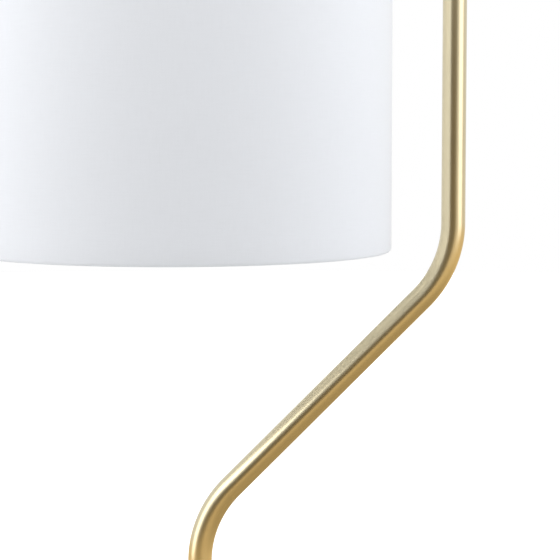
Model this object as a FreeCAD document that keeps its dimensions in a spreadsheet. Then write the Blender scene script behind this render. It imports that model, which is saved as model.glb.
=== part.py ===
import FreeCAD
import Part

import math
import os

import Sketcher

# Arc floor lamp: a weighted round base, a bent pole in four screwed sections, and a drum shade
# that hangs from the pole's arc over the base. Millimetres, +Z up. The origin is on the floor,
# at the centre of the base, which is also the axis of the lower pole. +X points to the side the
# pole is kinked to, and +Y is the back, where the mains cord enters the base.

DRIVING_SIZES = {
    # pole
    "tube_outer": 20.0,
    "tube_wall": 1.2,
    "bend_radius": 90.0,
    "lower_tube_length": 412.0,
    "middle_tube_length": 412.0,
    "lower_leg": 104.0,
    "kink_offset": 212.0,
    "kink_rise": 212.0,
    "upper_leg": 233.0,
    "arc_leg": 110.0,
    "arc_drop": 30.0,
    "shade_offset": 18.0,
    # threaded joints
    "nipple_outer": 10.0,
    "nipple_bore": 6.6,
    "nipple_length": 26.0,
    "insert_length": 16.0,
    "thread_gap": 0.05,
    "press_gap": 0.02,
    "nut_wall": 2.0,
    "nut_height": 3.5,
    # base
    "cover_diameter": 280.0,
    "cover_wall": 1.2,
    "cover_corner": 5.0,
    "cover_floor_gap": 1.0,
    "pad_thickness": 2.0,
    "pad_inset": 3.0,
    "weight_gap": 0.8,
    "weight_recess_diameter": 200.0,
    "web_thickness": 6.0,
    "stud_hole_gap": 0.3,
    "stud_end": 1.0,
    "stud_head_room": 2.0,
    "flat_washer_width": 8.7,
    "flat_washer_thickness": 1.6,
    "lock_washer_width": 3.2,
    "lock_washer_thickness": 1.6,
    "lock_washer_slit": 1.5,
    "collar_width": 6.9,
    "collar_height": 7.0,
    "collar_chamfer": 1.5,
    "collar_gap": 0.1,
    # cord inlet and terminal block
    "cord_bore": 7.2,
    "grommet_wall": 1.6,
    "grommet_gap": 0.05,
    "grommet_flange_width": 1.8,
    "grommet_inner_flange_width": 0.8,
    "grommet_flange_thickness": 1.5,
    "grommet_seat_gap": 0.2,
    "channel_gap": 2.0,
    "block_length": 20.0,
    "block_width": 16.0,
    "block_floor_gap": 1.5,
    "block_gap": 4.0,
    "block_screw_diameter": 2.9,
    "block_screw_bite": 4.0,
    "block_screw_end_gap": 0.5,
    "block_screw_head": 5.4,
    "block_screw_head_height": 2.0,
    "screw_slot_width": 0.8,
    "terminal_pitch": 8.0,
    "terminal_inset": 4.0,
    "terminal_screw_diameter": 3.4,
    "terminal_screw_length": 6.0,
    "terminal_screw_depth": 1.0,
    "lead_diameter": 5.0,
    "lead_base_bend": 6.0,
    "lead_floor_gap": 1.8,
    # socket
    "cup_wall": 1.2,
    "cup_corner": 4.0,
    "wiring_room": 18.0,
    "socket_gap": 0.3,
    "housing_wall": 3.9,
    "shoulder_overhang": 2.0,
    "shoulder_height": 4.0,
    "housing_height": 22.0,
    "housing_roof": 4.0,
    "skirt_wall": 4.9,
    "skirt_height": 24.0,
    "socket_bore": 29.2,
    "switch_block_height": 16.0,
    "shell_wall": 0.8,
    "shell_inset": 5.0,
    "contact_diameter": 9.0,
    "contact_thickness": 0.6,
    "contact_drop": 7.0,
    "socket_screw_diameter": 2.4,
    "socket_screw_head": 4.2,
    "socket_screw_head_height": 1.6,
    "socket_screw_bite": 13.5,
    "socket_screw_end_gap": 0.5,
    "switch_shaft_diameter": 4.0,
    "shaft_gap": 0.05,
    "switch_shaft_depth": 10.0,
    "switch_shaft_end_gap": 0.2,
    "bushing_wall": 1.85,
    "bushing_flange_width": 1.6,
    "bushing_flange_thickness": 1.8,
    "bushing_chamfer": 0.5,
    "knob_diameter": 10.0,
    "knob_length": 13.0,
    "knob_stand_off": 1.5,
    "knob_grip": 9.0,
    "knob_corner": 1.2,
    "knob_collar": 1.0,
    "knob_rib_count": 20,
    "knob_rib_depth": 0.35,
    # shade and its fitter
    "shade_diameter": 356.0,
    "shade_height": 255.0,
    "fitter_drop": 16.0,
    "fitter_width": 10.0,
    "fitter_thickness": 2.0,
    "fitter_gap": 0.3,
    "clamp_gap": 0.05,
    "ring_width": 6.5,
    "ring_height": 9.0,
    "ring_rib_count": 28,
    "ring_rib_depth": 0.8,
    "wire_diameter": 3.2,
    "arm_count": 3,
    "arm_weld": 1.0,
    "arm_reach": 6.0,
    "arm_crank": 18.0,
    "arm_bend_radius": 8.0,
    "arm_notch_gap": 0.3,
    "liner_thickness": 0.8,
    "fabric_thickness": 0.6,
    "layer_gap": 0.05,
    "hem_slope": 5.0,
    "hem_turn_in": 5.0,
    # bulb
    "bulb_cap_gap": 0.4,
    "bulb_cap_wall": 0.4,
    "bulb_cap_length": 23.0,
    "bulb_cap_plug": 9.0,
    "bulb_tip_diameter": 9.2,
    "bulb_tip_height": 1.4,
    "bulb_insulator_height": 4.0,
    "bulb_neck_reach": 1.5,
    "bulb_flare_length": 28.0,
    "bulb_rim_inset": 3.5,
    "bulb_globe_diameter": 60.0,
    "bulb_globe_wall": 1.2,
    "bulb_globe_lip": 3.0,
}


class Size:
    """A length that keeps the spreadsheet expression it comes from, beside its present value."""

    def __init__(self, value, text):
        self.value = value
        self.text = text

    def __add__(self, other):
        other = as_size(other)
        return Size(self.value + other.value, f"({self.text} + {other.text})")

    def __sub__(self, other):
        other = as_size(other)
        return Size(self.value - other.value, f"({self.text} - {other.text})")

    def __mul__(self, factor):
        return Size(self.value * factor, f"({self.text} * {factor})")

    def __truediv__(self, factor):
        return Size(self.value / factor, f"({self.text} / {factor})")

    def __neg__(self):
        return Size(-self.value, f"(-{self.text})")


def as_size(number):
    return number if isinstance(number, Size) else Size(float(number), repr(float(number)))


def other_leg(hypotenuse, leg):
    """The third side of a right-angled triangle."""
    value = math.sqrt(hypotenuse.value**2 - leg.value**2)
    return Size(value, f"sqrt({hypotenuse.text} ^ 2 - {leg.text} ^ 2)")


doc = FreeCAD.newDocument("arc_floor_lamp")


def make_sheet():
    """Writes the driving sizes into the spreadsheet and returns them as Size objects by name."""
    sheet = doc.addObject("Spreadsheet::Sheet", "Sizes")
    named = {}
    for row, (name, value) in enumerate(DRIVING_SIZES.items(), start=1):
        sheet.set(f"A{row}", name)
        sheet.set(f"B{row}", str(value))
        sheet.setAlias(f"B{row}", name)
        named[name] = Size(float(value), f"Sizes.{name}")
    doc.recompute()
    return named


S = make_sheet()

# Derived radii and places, each tied to the sheet through Size arithmetic.
TUBE_R = S["tube_outer"] / 2
TUBE_BORE_R = TUBE_R - S["tube_wall"]
NIPPLE_R = S["nipple_outer"] / 2
THREAD_BORE_R = NIPPLE_R + S["thread_gap"]
COVER_R = S["cover_diameter"] / 2
COVER_BORE_R = COVER_R - S["cover_wall"]
WEIGHT_R = COVER_BORE_R - S["weight_gap"]
STUD_HOLE_R = NIPPLE_R + S["stud_hole_gap"]
FLAT_WASHER_R = STUD_HOLE_R + S["flat_washer_width"]

# The wiring recess is as deep as the stud's tail and the bend of the lead under it need.
WASHERS = S["flat_washer_thickness"] + S["lock_washer_thickness"]
STUD_TAIL = WASHERS + S["nut_height"] + S["stud_end"]
LEAD_R = S["lead_diameter"] / 2
LEAD_Z = S["pad_thickness"] + S["lead_floor_gap"] + LEAD_R
STUD_BOTTOM = LEAD_Z + S["lead_base_bend"]
WEIGHT_BOTTOM = S["pad_thickness"]
WEB_BOTTOM = STUD_BOTTOM + STUD_TAIL
WEIGHT_TOP = WEB_BOTTOM + S["web_thickness"]
COVER_TOP = WEIGHT_TOP + S["cover_wall"]
GROMMET_R = S["cord_bore"] / 2 + S["grommet_wall"]
GROMMET_INNER_R = GROMMET_R + S["grommet_inner_flange_width"]
CHANNEL_HALF = GROMMET_INNER_R + S["channel_gap"]
INLET_Z = WEIGHT_BOTTOM + CHANNEL_HALF
BLOCK_X = FLAT_WASHER_R + S["block_gap"]
BLOCK_Z = WEIGHT_BOTTOM + S["block_floor_gap"]

JOINT_1_Z = COVER_TOP + S["lower_tube_length"]
JOINT_2_Z = JOINT_1_Z + S["middle_tube_length"]
LOWER_CORNER_Z = JOINT_2_Z + S["lower_leg"]
UPPER_CORNER_Z = LOWER_CORNER_Z + S["kink_rise"]
JOINT_3_Z = UPPER_CORNER_Z + S["upper_leg"]
ARC_SPRING_Z = JOINT_3_Z + S["arc_leg"]
ARC_END_Z = ARC_SPRING_Z - S["arc_drop"]
UPPER_X = S["kink_offset"]
SHADE_X = -S["shade_offset"]

CUP_HEIGHT = S["housing_height"] + S["switch_block_height"] + S["wiring_room"]
SHOULDER_TOP = ARC_END_Z - CUP_HEIGHT
SHOULDER_BOTTOM = SHOULDER_TOP - S["shoulder_height"]
SKIRT_BOTTOM = SHOULDER_BOTTOM - S["skirt_height"]
HOUSING_TOP = SHOULDER_TOP + S["housing_height"]
HOUSING_ROOF = HOUSING_TOP - S["housing_roof"]
SWITCH_TOP = HOUSING_TOP + S["switch_block_height"]
SWITCH_AXIS_Z = HOUSING_TOP + S["switch_block_height"] / 2
SKIRT_BORE_R = S["socket_bore"] / 2
SKIRT_R = SKIRT_BORE_R + S["skirt_wall"]
SOCKET_R = SKIRT_BORE_R + S["housing_wall"]
CUP_BORE_R = SOCKET_R + S["socket_gap"]
CUP_R = CUP_BORE_R + S["cup_wall"]
SHOULDER_R = CUP_R + S["shoulder_overhang"]
SHELL_BORE_R = SKIRT_BORE_R - S["shell_wall"]
SOCKET_SCREW_X = SKIRT_BORE_R + S["housing_wall"] / 2
SOCKET_SCREW_HOLE = S["socket_screw_bite"] + S["socket_screw_end_gap"]
SHAFT_R = S["switch_shaft_diameter"] / 2
SHAFT_BORE_R = SHAFT_R + S["shaft_gap"]
SHAFT_SEAT = SOCKET_R - S["switch_shaft_depth"]
BUSHING_R = SHAFT_BORE_R + S["bushing_wall"]
CONTACT_Z = HOUSING_ROOF - S["contact_drop"]

FITTER_TOP = SHOULDER_BOTTOM - S["clamp_gap"]
FITTER_BOTTOM = FITTER_TOP - S["fitter_thickness"]
FITTER_BORE_R = SKIRT_R + S["fitter_gap"]
FITTER_R = FITTER_BORE_R + S["fitter_width"]
RING_TOP = FITTER_BOTTOM - S["clamp_gap"]
RING_BORE_R = SKIRT_R + S["thread_gap"]
RING_R = RING_BORE_R + S["ring_width"]
SHADE_TOP = FITTER_TOP + S["fitter_drop"]
SHADE_BOTTOM = SHADE_TOP - S["shade_height"]
SHADE_R = S["shade_diameter"] / 2
WIRE_R = S["wire_diameter"] / 2
LINER_R = SHADE_R - S["fabric_thickness"] - S["layer_gap"]
LINER_BORE_R = LINER_R - S["liner_thickness"]
HOOP_R = LINER_BORE_R - S["layer_gap"] - WIRE_R
HEM_R = SHADE_R - HOOP_R
HEM_BORE_R = HEM_R - S["fabric_thickness"]
TOP_HOOP_Z = SHADE_TOP - HEM_R
BOTTOM_HOOP_Z = SHADE_BOTTOM + HEM_R

subparts = []


# ---------------------------------------------------------------- helpers


def bind(thing, prop, size):
    """Ties one property to the spreadsheet."""
    thing.setExpression(prop, as_size(size).text)


def place(thing, x=0.0, y=0.0, z=0.0):
    """Ties an object's position to the spreadsheet."""
    for axis, size in (("x", x), ("y", y), ("z", z)):
        bind(thing, f"Placement.Base.{axis}", size)


def keep(thing, label):
    """Names an object as one of the lamp's sub-parts."""
    thing.Label = label
    subparts.append(thing)
    return thing


def new_body(label):
    return keep(doc.addObject("PartDesign::Body", label), label)


def origin_plane(body, role):
    return next(f for f in body.Origin.OriginFeatures if f.Role == role)


def new_sketch(body, name, role="XZ_Plane", offset=None):
    """A sketch on one of the body's own origin planes, moved along its normal by offset."""
    sketch = body.newObject("Sketcher::SketchObject", name)
    sketch.AttachmentSupport = [(origin_plane(body, role), "")]
    sketch.MapMode = "FlatFace"
    if offset is not None:
        bind(sketch, "AttachmentOffset.Base.z", offset)
    return sketch


def constrain(sketch, kind, size, *where):
    """Adds a dimensional constraint that is tied to the spreadsheet."""
    size = as_size(size)
    index = sketch.addConstraint(Sketcher.Constraint(kind, *where, size.value))
    sketch.setExpression(f"Constraints[{index}]", size.text)


def pin_one_way(sketch, geometry, point, direction, size):
    """Fixes one coordinate of a sketch point; direction is "X" or "Y"."""
    if as_size(size).text == "0.0":
        axis = -2 if direction == "X" else -1
        sketch.addConstraint(Sketcher.Constraint("PointOnObject", geometry, point, axis))
    else:
        constrain(sketch, f"Distance{direction}", size, -1, 1, geometry, point)


def pin(sketch, geometry, point, x, y):
    """Fixes a sketch point at (x, y)."""
    pin_one_way(sketch, geometry, point, "X", x)
    pin_one_way(sketch, geometry, point, "Y", y)


def line_to(x, y):
    return (as_size(x), as_size(y), None)


def arc_to(x, y, centre_x, centre_y, clockwise=False):
    return (as_size(x), as_size(y), (as_size(centre_x), as_size(centre_y), clockwise))


def draw_line(sketch, start, end):
    return sketch.addGeometry(Part.LineSegment(start, end), False)


def draw_arc(sketch, start, end, centre, clockwise):
    """An arc from start to end; returns it with the point numbers of its start and end."""
    circle = Part.Circle(centre, FreeCAD.Vector(0, 0, 1), (start - centre).Length)
    first, last = (end, start) if clockwise else (start, end)
    angles = [math.atan2(p.y - centre.y, p.x - centre.x) for p in (first, last)]
    arc = sketch.addGeometry(Part.ArcOfCircle(circle, *angles), False)
    return (arc, 2, 1) if clockwise else (arc, 1, 2)


def draw_outline(sketch, start, steps):
    """Draws a closed outline of lines and arcs; every corner and every arc centre is bound."""
    corners = [(as_size(start[0]), as_size(start[1]))] + [(x, y) for x, y, _ in steps]
    edges = [arc for _, _, arc in steps] + [None]
    made = []
    for index, arc in enumerate(edges):
        (ax, ay), (bx, by) = corners[index], corners[(index + 1) % len(corners)]
        first = FreeCAD.Vector(ax.value, ay.value, 0)
        last = FreeCAD.Vector(bx.value, by.value, 0)
        if arc is None:
            made.append((draw_line(sketch, first, last), 1, 2))
            continue
        cx, cy, clockwise = arc
        centre = FreeCAD.Vector(cx.value, cy.value, 0)
        made.append(draw_arc(sketch, first, last, centre, clockwise))
        geometry = made[-1][0]
        if abs(ax.value - bx.value) < abs(ay.value - by.value):
            pin_one_way(sketch, geometry, 3, "X", cx)
        else:
            pin_one_way(sketch, geometry, 3, "Y", cy)
    for index, (geometry, first, last) in enumerate(made):
        after, after_first, _ = made[(index + 1) % len(made)]
        sketch.addConstraint(Sketcher.Constraint("Coincident", geometry, last, after, after_first))
        pin(sketch, geometry, first, *corners[index])
    return sketch


def box_outline(sketch, x0, x1, y0, y1):
    return draw_outline(sketch, (x0, y0), [line_to(x1, y0), line_to(x1, y1), line_to(x0, y1)])


def revolve(body, sketch, axis="V_Axis"):
    """Turns an outline a full turn about one of the sketch's own axes."""
    solid = body.newObject("PartDesign::Revolution", "turned")
    solid.Profile = sketch
    solid.ReferenceAxis = (sketch, [axis])
    solid.Angle = 360
    return solid


def turned(label, start, steps, x=0.0, z=0.0):
    """A body turned about an upright axis at x; the outline's heights count from z."""
    body = new_body(label)
    revolve(body, draw_outline(new_sketch(body, "outline"), start, steps))
    place(body, x=x, z=z)
    return body


def sleeve(label, inner, outer, bottom, top, x=0.0):
    """A plain turned ring or tube between two heights."""
    body = new_body(label)
    revolve(body, box_outline(new_sketch(body, "section"), inner, outer, 0.0, top - bottom))
    place(body, x=x, z=bottom)
    return body


def circle_sketch(body, name, radii, role="XY_Plane", offset=None, centre=(0.0, 0.0)):
    """A sketch of circles about one centre."""
    sketch = new_sketch(body, name, role, offset)
    middle = FreeCAD.Vector(as_size(centre[0]).value, as_size(centre[1]).value, 0)
    for radius in radii:
        circle = Part.Circle(middle, FreeCAD.Vector(0, 0, 1), as_size(radius).value)
        geometry = sketch.addGeometry(circle, False)
        pin(sketch, geometry, 3, *centre)
        constrain(sketch, "Radius", radius, geometry)
    return sketch


def cut(body, sketch, depth, reverse=False):
    """A pocket that has to take material away."""
    doc.recompute()
    before = body.Shape.Volume
    pocket = body.newObject("PartDesign::Pocket", "pocket")
    pocket.Profile = sketch
    pocket.Reversed = reverse
    bind(pocket, "Length", depth)
    doc.recompute()
    if not body.Shape.Volume < before - 1e-6:
        raise RuntimeError(f"{body.Label}: a pocket cuts nothing")
    return pocket


def polar_pattern(body, feature, axis_role, count):
    """Repeats a feature evenly about one of the body's own axes."""
    pattern = body.newObject("PartDesign::PolarPattern", "pattern")
    pattern.Originals = [feature]
    pattern.Axis = (origin_plane(body, axis_role), [""])
    pattern.Angle = 360
    bind(pattern, "Occurrences", count)
    body.Tip = pattern
    return pattern


def chamfer_edges(body, size, wanted):
    """Chamfers the circular edges at the wanted (radius, height) pairs."""
    doc.recompute()
    base, names = body.Tip, []
    for number, edge in enumerate(base.Shape.Edges, start=1):
        if not isinstance(edge.Curve, Part.Circle):
            continue
        for radius, height in wanted:
            same_radius = abs(edge.Curve.Radius - as_size(radius).value) < 1e-3
            same_height = abs(edge.Curve.Center.z - as_size(height).value) < 1e-3
            if same_radius and same_height:
                names.append(f"Edge{number}")
    if len(names) != len(wanted):
        raise RuntimeError(f"{body.Label}: found {len(names)} of {len(wanted)} edges to chamfer")
    chamfer = body.newObject("PartDesign::Chamfer", "chamfer")
    chamfer.Base = (base, names)
    bind(chamfer, "Size", size)
    return chamfer


def sweep(body, section, path):
    """Sweeps a section along a path sketch, whose edges were drawn in running order."""
    doc.recompute()
    pipe = body.newObject("PartDesign::AdditivePipe", "pipe")
    pipe.Profile = section
    pipe.Spine = (path, [f"Edge{n + 1}" for n in range(len(path.Shape.Edges))])
    return pipe


def bent_path(sketch, corners, radii):
    """Straight runs between the corners, joined by tangent arcs at the inner corners."""
    points = [FreeCAD.Vector(as_size(x).value, as_size(y).value, 0) for x, y in corners]
    runs, bend_ends, here = [], [], points[0]
    for before, corner, after, radius in zip(points, points[1:], points[2:], radii):
        to_before, to_after = (before - corner).normalize(), (after - corner).normalize()
        half_angle = to_before.getAngle(to_after) / 2
        trim = radius.value / math.tan(half_angle)
        bisector = (to_before + to_after).normalize()
        centre = corner + bisector * (radius.value / math.sin(half_angle))
        arrive, leave = corner + to_before * trim, corner + to_after * trim
        turns_right = to_before.cross(to_after).z > 0
        runs.append(draw_line(sketch, here, arrive))
        arc, near, far = draw_arc(sketch, arrive, leave, centre, turns_right)
        sketch.addConstraint(Sketcher.Constraint("Tangent", runs[-1], 2, arc, near))
        constrain(sketch, "Radius", radius, arc)
        bend_ends.append((arc, far))
        here = leave
    runs.append(draw_line(sketch, here, points[-1]))
    for index, (arc, far) in enumerate(bend_ends):
        sketch.addConstraint(Sketcher.Constraint("Tangent", arc, far, runs[index + 1], 1))
        mark = sketch.addGeometry(Part.Point(points[index + 1]), True)
        for run in runs[index : index + 2]:
            sketch.addConstraint(Sketcher.Constraint("PointOnObject", mark, 1, run))
        pin_corner(sketch, mark, runs, corners, index + 1)
    pin(sketch, runs[0], 1, *corners[0])
    pin(sketch, runs[-1], 2, *corners[-1])
    return runs[-1]


def pin_corner(sketch, mark, runs, corners, index):
    """Fixes an inner corner; beside a fixed end, a level or upright run already fixes half."""
    x, y = (as_size(v) for v in corners[index])
    for neighbour, run in ((0, runs[0]), (len(corners) - 1, runs[-1])):
        if abs(neighbour - index) != 1:
            continue
        end_x, end_y = (as_size(v) for v in corners[neighbour])
        if end_x.text == x.text:
            sketch.addConstraint(Sketcher.Constraint("Vertical", run))
            pin_one_way(sketch, mark, 1, "Y", y)
            return
        if end_y.text == y.text:
            sketch.addConstraint(Sketcher.Constraint("Horizontal", run))
            pin_one_way(sketch, mark, 1, "X", x)
            return
    pin(sketch, mark, 1, x, y)


def hook_path(sketch, corners, radii, end_x, end_y):
    """A bent path whose last, upright run goes over in a half circle and down to an end."""
    last_run = bent_path(sketch, corners, radii)
    top_x, top_y = (as_size(v).value for v in corners[-1])
    far_x = end_x.value
    rise, fall = FreeCAD.Vector(top_x, top_y, 0), FreeCAD.Vector(far_x, top_y, 0)
    centre = (rise + fall) / 2
    over, near, far = draw_arc(sketch, rise, fall, centre, far_x > top_x)
    down = draw_line(sketch, fall, FreeCAD.Vector(far_x, end_y.value, 0))
    sketch.addConstraint(Sketcher.Constraint("Tangent", last_run, 2, over, near))
    sketch.addConstraint(Sketcher.Constraint("Tangent", over, far, down, 1))
    sketch.addConstraint(Sketcher.Constraint("Vertical", down))
    pin(sketch, down, 2, end_x, end_y)


# ---------------------------------------------------------------- base


def make_base_pad():
    """Foam disc that the lamp stands on."""
    sleeve("base_pad", 0.0, WEIGHT_R - S["pad_inset"], 0.0, S["pad_thickness"])


def make_base_weight():
    """Cast weight: thick rim, thin web in the middle, and a channel for the cord at the back."""
    body = new_body("base_weight")
    recess_r = S["weight_recess_diameter"] / 2
    corner = S["cover_corner"]
    high, web = WEIGHT_TOP - WEIGHT_BOTTOM, WEB_BOTTOM - WEIGHT_BOTTOM
    outline = draw_outline(
        new_sketch(body, "outline"),
        (recess_r, 0.0),
        [
            line_to(WEIGHT_R, 0.0),
            line_to(WEIGHT_R, high - corner),
            arc_to(WEIGHT_R - corner, high, WEIGHT_R - corner, high - corner),
            line_to(STUD_HOLE_R, high),
            line_to(STUD_HOLE_R, web),
            line_to(recess_r, web),
        ],
    )
    revolve(body, outline)
    channel = new_sketch(body, "channel", "XY_Plane")
    box_outline(channel, -CHANNEL_HALF, CHANNEL_HALF, recess_r / 2, COVER_R)
    cut(body, channel, CHANNEL_HALF * 2, reverse=True)
    hole_r = S["block_screw_diameter"] / 2 + S["press_gap"]
    centre = (BLOCK_X + S["block_length"] / 2, 0.0)
    hole = circle_sketch(body, "screw_hole", [hole_r], offset=web, centre=centre)
    cut(body, hole, S["block_screw_bite"] + S["block_screw_end_gap"], reverse=True)
    place(body, z=WEIGHT_BOTTOM)


def make_base_cover():
    """Spun metal cover with a rounded edge, a hole for the stud and one for the cord inlet."""
    body = new_body("base_cover")
    rim, roof, top = S["cover_floor_gap"], WEIGHT_TOP, COVER_TOP
    corner = S["cover_corner"]
    inner_corner = corner - S["cover_wall"]
    outline = draw_outline(
        new_sketch(body, "outline"),
        (COVER_BORE_R, rim),
        [
            line_to(COVER_R, rim),
            line_to(COVER_R, top - corner),
            arc_to(COVER_R - corner, top, COVER_R - corner, top - corner),
            line_to(STUD_HOLE_R, top),
            line_to(STUD_HOLE_R, roof),
            line_to(COVER_R - corner, roof),
            arc_to(COVER_BORE_R, roof - inner_corner, COVER_R - corner, roof - inner_corner, True),
        ],
    )
    revolve(body, outline)
    hole_r = GROMMET_R + S["grommet_gap"]
    back = circle_sketch(body, "inlet", [hole_r], "XZ_Plane", centre=(0.0, INLET_Z))
    cut(body, back, COVER_R + 1, reverse=False)


def make_base_hardware():
    """Hollow stud through the base, with its washers and nut under the web."""
    stud_top = COVER_TOP + S["insert_length"] - S["stud_head_room"]
    sleeve("base_stud", S["nipple_bore"] / 2, NIPPLE_R, STUD_BOTTOM, stud_top)
    washer_bottom = WEB_BOTTOM - S["flat_washer_thickness"]
    sleeve("base_flat_washer", STUD_HOLE_R, FLAT_WASHER_R, washer_bottom, WEB_BOTTOM)
    lock_bottom = washer_bottom - S["lock_washer_thickness"]
    lock_r = STUD_HOLE_R + S["lock_washer_width"]
    lock = sleeve("base_lock_washer", STUD_HOLE_R, lock_r, lock_bottom, washer_bottom)
    half = S["lock_washer_slit"] / 2
    slit = box_outline(new_sketch(lock, "slit", "XY_Plane"), 0.0, lock_r + 1, -half, half)
    cut(lock, slit, S["lock_washer_thickness"], reverse=True)
    hex_nut("base_nut", lock_bottom - S["nut_height"])


def hex_nut(label, bottom, x=0.0):
    """A thin hexagon nut on the lamp thread."""
    prism = doc.addObject("Part::Prism", f"{label}_hexagon")
    prism.Polygon = 6
    bind(prism, "Circumradius", (NIPPLE_R + S["nut_wall"]) * (2 / math.sqrt(3)))
    bind(prism, "Height", S["nut_height"])
    bore = doc.addObject("Part::Cylinder", f"{label}_bore")
    bind(bore, "Radius", THREAD_BORE_R)
    bind(bore, "Height", S["nut_height"])
    nut = keep(doc.addObject("Part::Cut", label), label)
    nut.Base, nut.Tool = prism, bore
    place(nut, x=x, z=bottom)
    return nut


def make_base_collar():
    """Escutcheon ring round the foot of the pole."""
    body = new_body("base_collar")
    bore_r, high = TUBE_R + S["collar_gap"], S["collar_height"]
    outer_r = bore_r + S["collar_width"]
    revolve(body, box_outline(new_sketch(body, "section"), bore_r, outer_r, 0.0, high))
    chamfer_edges(body, S["collar_chamfer"], [(outer_r, high)])
    place(body, z=COVER_TOP)


def make_cord_grommet():
    """Rubber bush in the back of the cover, which the mains cord passes through."""
    body = new_body("cord_grommet")
    bore_r, flange = S["cord_bore"] / 2, S["grommet_flange_thickness"]
    flange_r = GROMMET_R + S["grommet_flange_width"]
    inside = S["cover_wall"] + S["grommet_seat_gap"]
    outline = draw_outline(
        new_sketch(body, "outline", "YZ_Plane"),
        (-(flange + inside), bore_r),
        [
            line_to(flange, bore_r),
            line_to(flange, flange_r - flange / 2),
            arc_to(flange / 2, flange_r, flange / 2, flange_r - flange / 2),
            line_to(0.0, flange_r),
            line_to(0.0, GROMMET_R),
            line_to(-inside, GROMMET_R),
            line_to(-inside, GROMMET_INNER_R),
            line_to(-(flange + inside), GROMMET_INNER_R),
        ],
    )
    revolve(body, outline, "H_Axis")
    place(body, y=COVER_R, z=INLET_Z)


def make_terminal_block():
    """Two-pole terminal block under the web, its screws, and the screw that holds it."""
    body = new_body("terminal_block")
    length, half = S["block_length"], S["block_width"] / 2
    high = WEB_BOTTOM - BLOCK_Z
    block = body.newObject("PartDesign::Pad", "block")
    block.Profile = box_outline(new_sketch(body, "plan", "XY_Plane"), 0.0, length, -half, half)
    bind(block, "Length", high)
    middle = length / 2
    fixing_r = S["block_screw_diameter"] / 2 + S["press_gap"]
    cut(body, circle_sketch(body, "fixing", [fixing_r], centre=(middle, 0.0)), high, True)
    head_r = S["block_screw_head"] / 2 + S["press_gap"]
    head_high = S["block_screw_head_height"]
    cut(body, circle_sketch(body, "head", [head_r], centre=(middle, 0.0)), head_high, True)
    well_r = S["terminal_screw_diameter"] / 2 + S["thread_gap"]
    well_deep = S["terminal_screw_length"] + S["terminal_screw_depth"]
    for name, centre in terminal_places():
        cut(body, circle_sketch(body, name, [well_r], centre=centre), well_deep, True)
    place(body, x=BLOCK_X, z=BLOCK_Z)
    make_block_screws(high, head_high)


def make_block_screws(high, head_high):
    """The block's fixing screw, up into the web, and its four terminal screws."""
    head_r, shank_r = S["block_screw_head"] / 2, S["block_screw_diameter"] / 2
    screw = turned(
        "block_screw",
        (0.0, 0.0),
        [
            line_to(head_r, 0.0),
            line_to(head_r, head_high),
            line_to(shank_r, head_high),
            line_to(shank_r, high + S["block_screw_bite"]),
            line_to(0.0, high + S["block_screw_bite"]),
        ],
        x=BLOCK_X + S["block_length"] / 2,
        z=BLOCK_Z,
    )
    half = S["screw_slot_width"] / 2
    slot = box_outline(new_sketch(screw, "slot", "XY_Plane"), -head_r, head_r, -half, half)
    cut(screw, slot, head_high / 2, reverse=True)

    screws = []
    for name, centre in terminal_places():
        pin_screw = doc.addObject("Part::Cylinder", f"terminal_screw_{name}")
        bind(pin_screw, "Radius", S["terminal_screw_diameter"] / 2)
        bind(pin_screw, "Height", S["terminal_screw_length"])
        place(pin_screw, x=centre[0], y=centre[1])
        screws.append(pin_screw)
    group = keep(doc.addObject("Part::Compound", "terminal_screws"), "terminal_screws")
    group.Links = screws
    place(group, x=BLOCK_X, z=BLOCK_Z + S["terminal_screw_depth"])


def terminal_places():
    """Centres of the block's four screw wells, counted from its inner face."""
    near, across = S["terminal_inset"], S["terminal_pitch"] / 2
    far = S["block_length"] - near
    return [
        ("near_left", (near, -across)),
        ("near_right", (near, across)),
        ("far_left", (far, -across)),
        ("far_right", (far, across)),
    ]


# ---------------------------------------------------------------- pole


def tube_section(body, bottom, x=0.0):
    """The tube's ring section at its lower end."""
    return circle_sketch(body, "section", [TUBE_R, TUBE_BORE_R], offset=bottom, centre=(x, 0.0))


POLE_CORNERS = [(0.0, LOWER_CORNER_Z), (UPPER_X, UPPER_CORNER_Z)]


def make_angled_tube():
    """The kinked section: up, out at a slant, and up again."""
    body = new_body("angled_tube")
    path = new_sketch(body, "path")
    corners = [(0.0, JOINT_2_Z)] + POLE_CORNERS + [(UPPER_X, JOINT_3_Z)]
    bent_path(path, corners, [S["bend_radius"]] * 2)
    sweep(body, tube_section(body, JOINT_2_Z), path)


def make_arc_tube():
    """The top section: up, over in a half circle, and down to the socket."""
    body = new_body("arc_tube")
    path = new_sketch(body, "path")
    hook_path(path, [(UPPER_X, JOINT_3_Z), (UPPER_X, ARC_SPRING_Z)], [], SHADE_X, ARC_END_Z)
    sweep(body, tube_section(body, JOINT_3_Z, UPPER_X), path)


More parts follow.
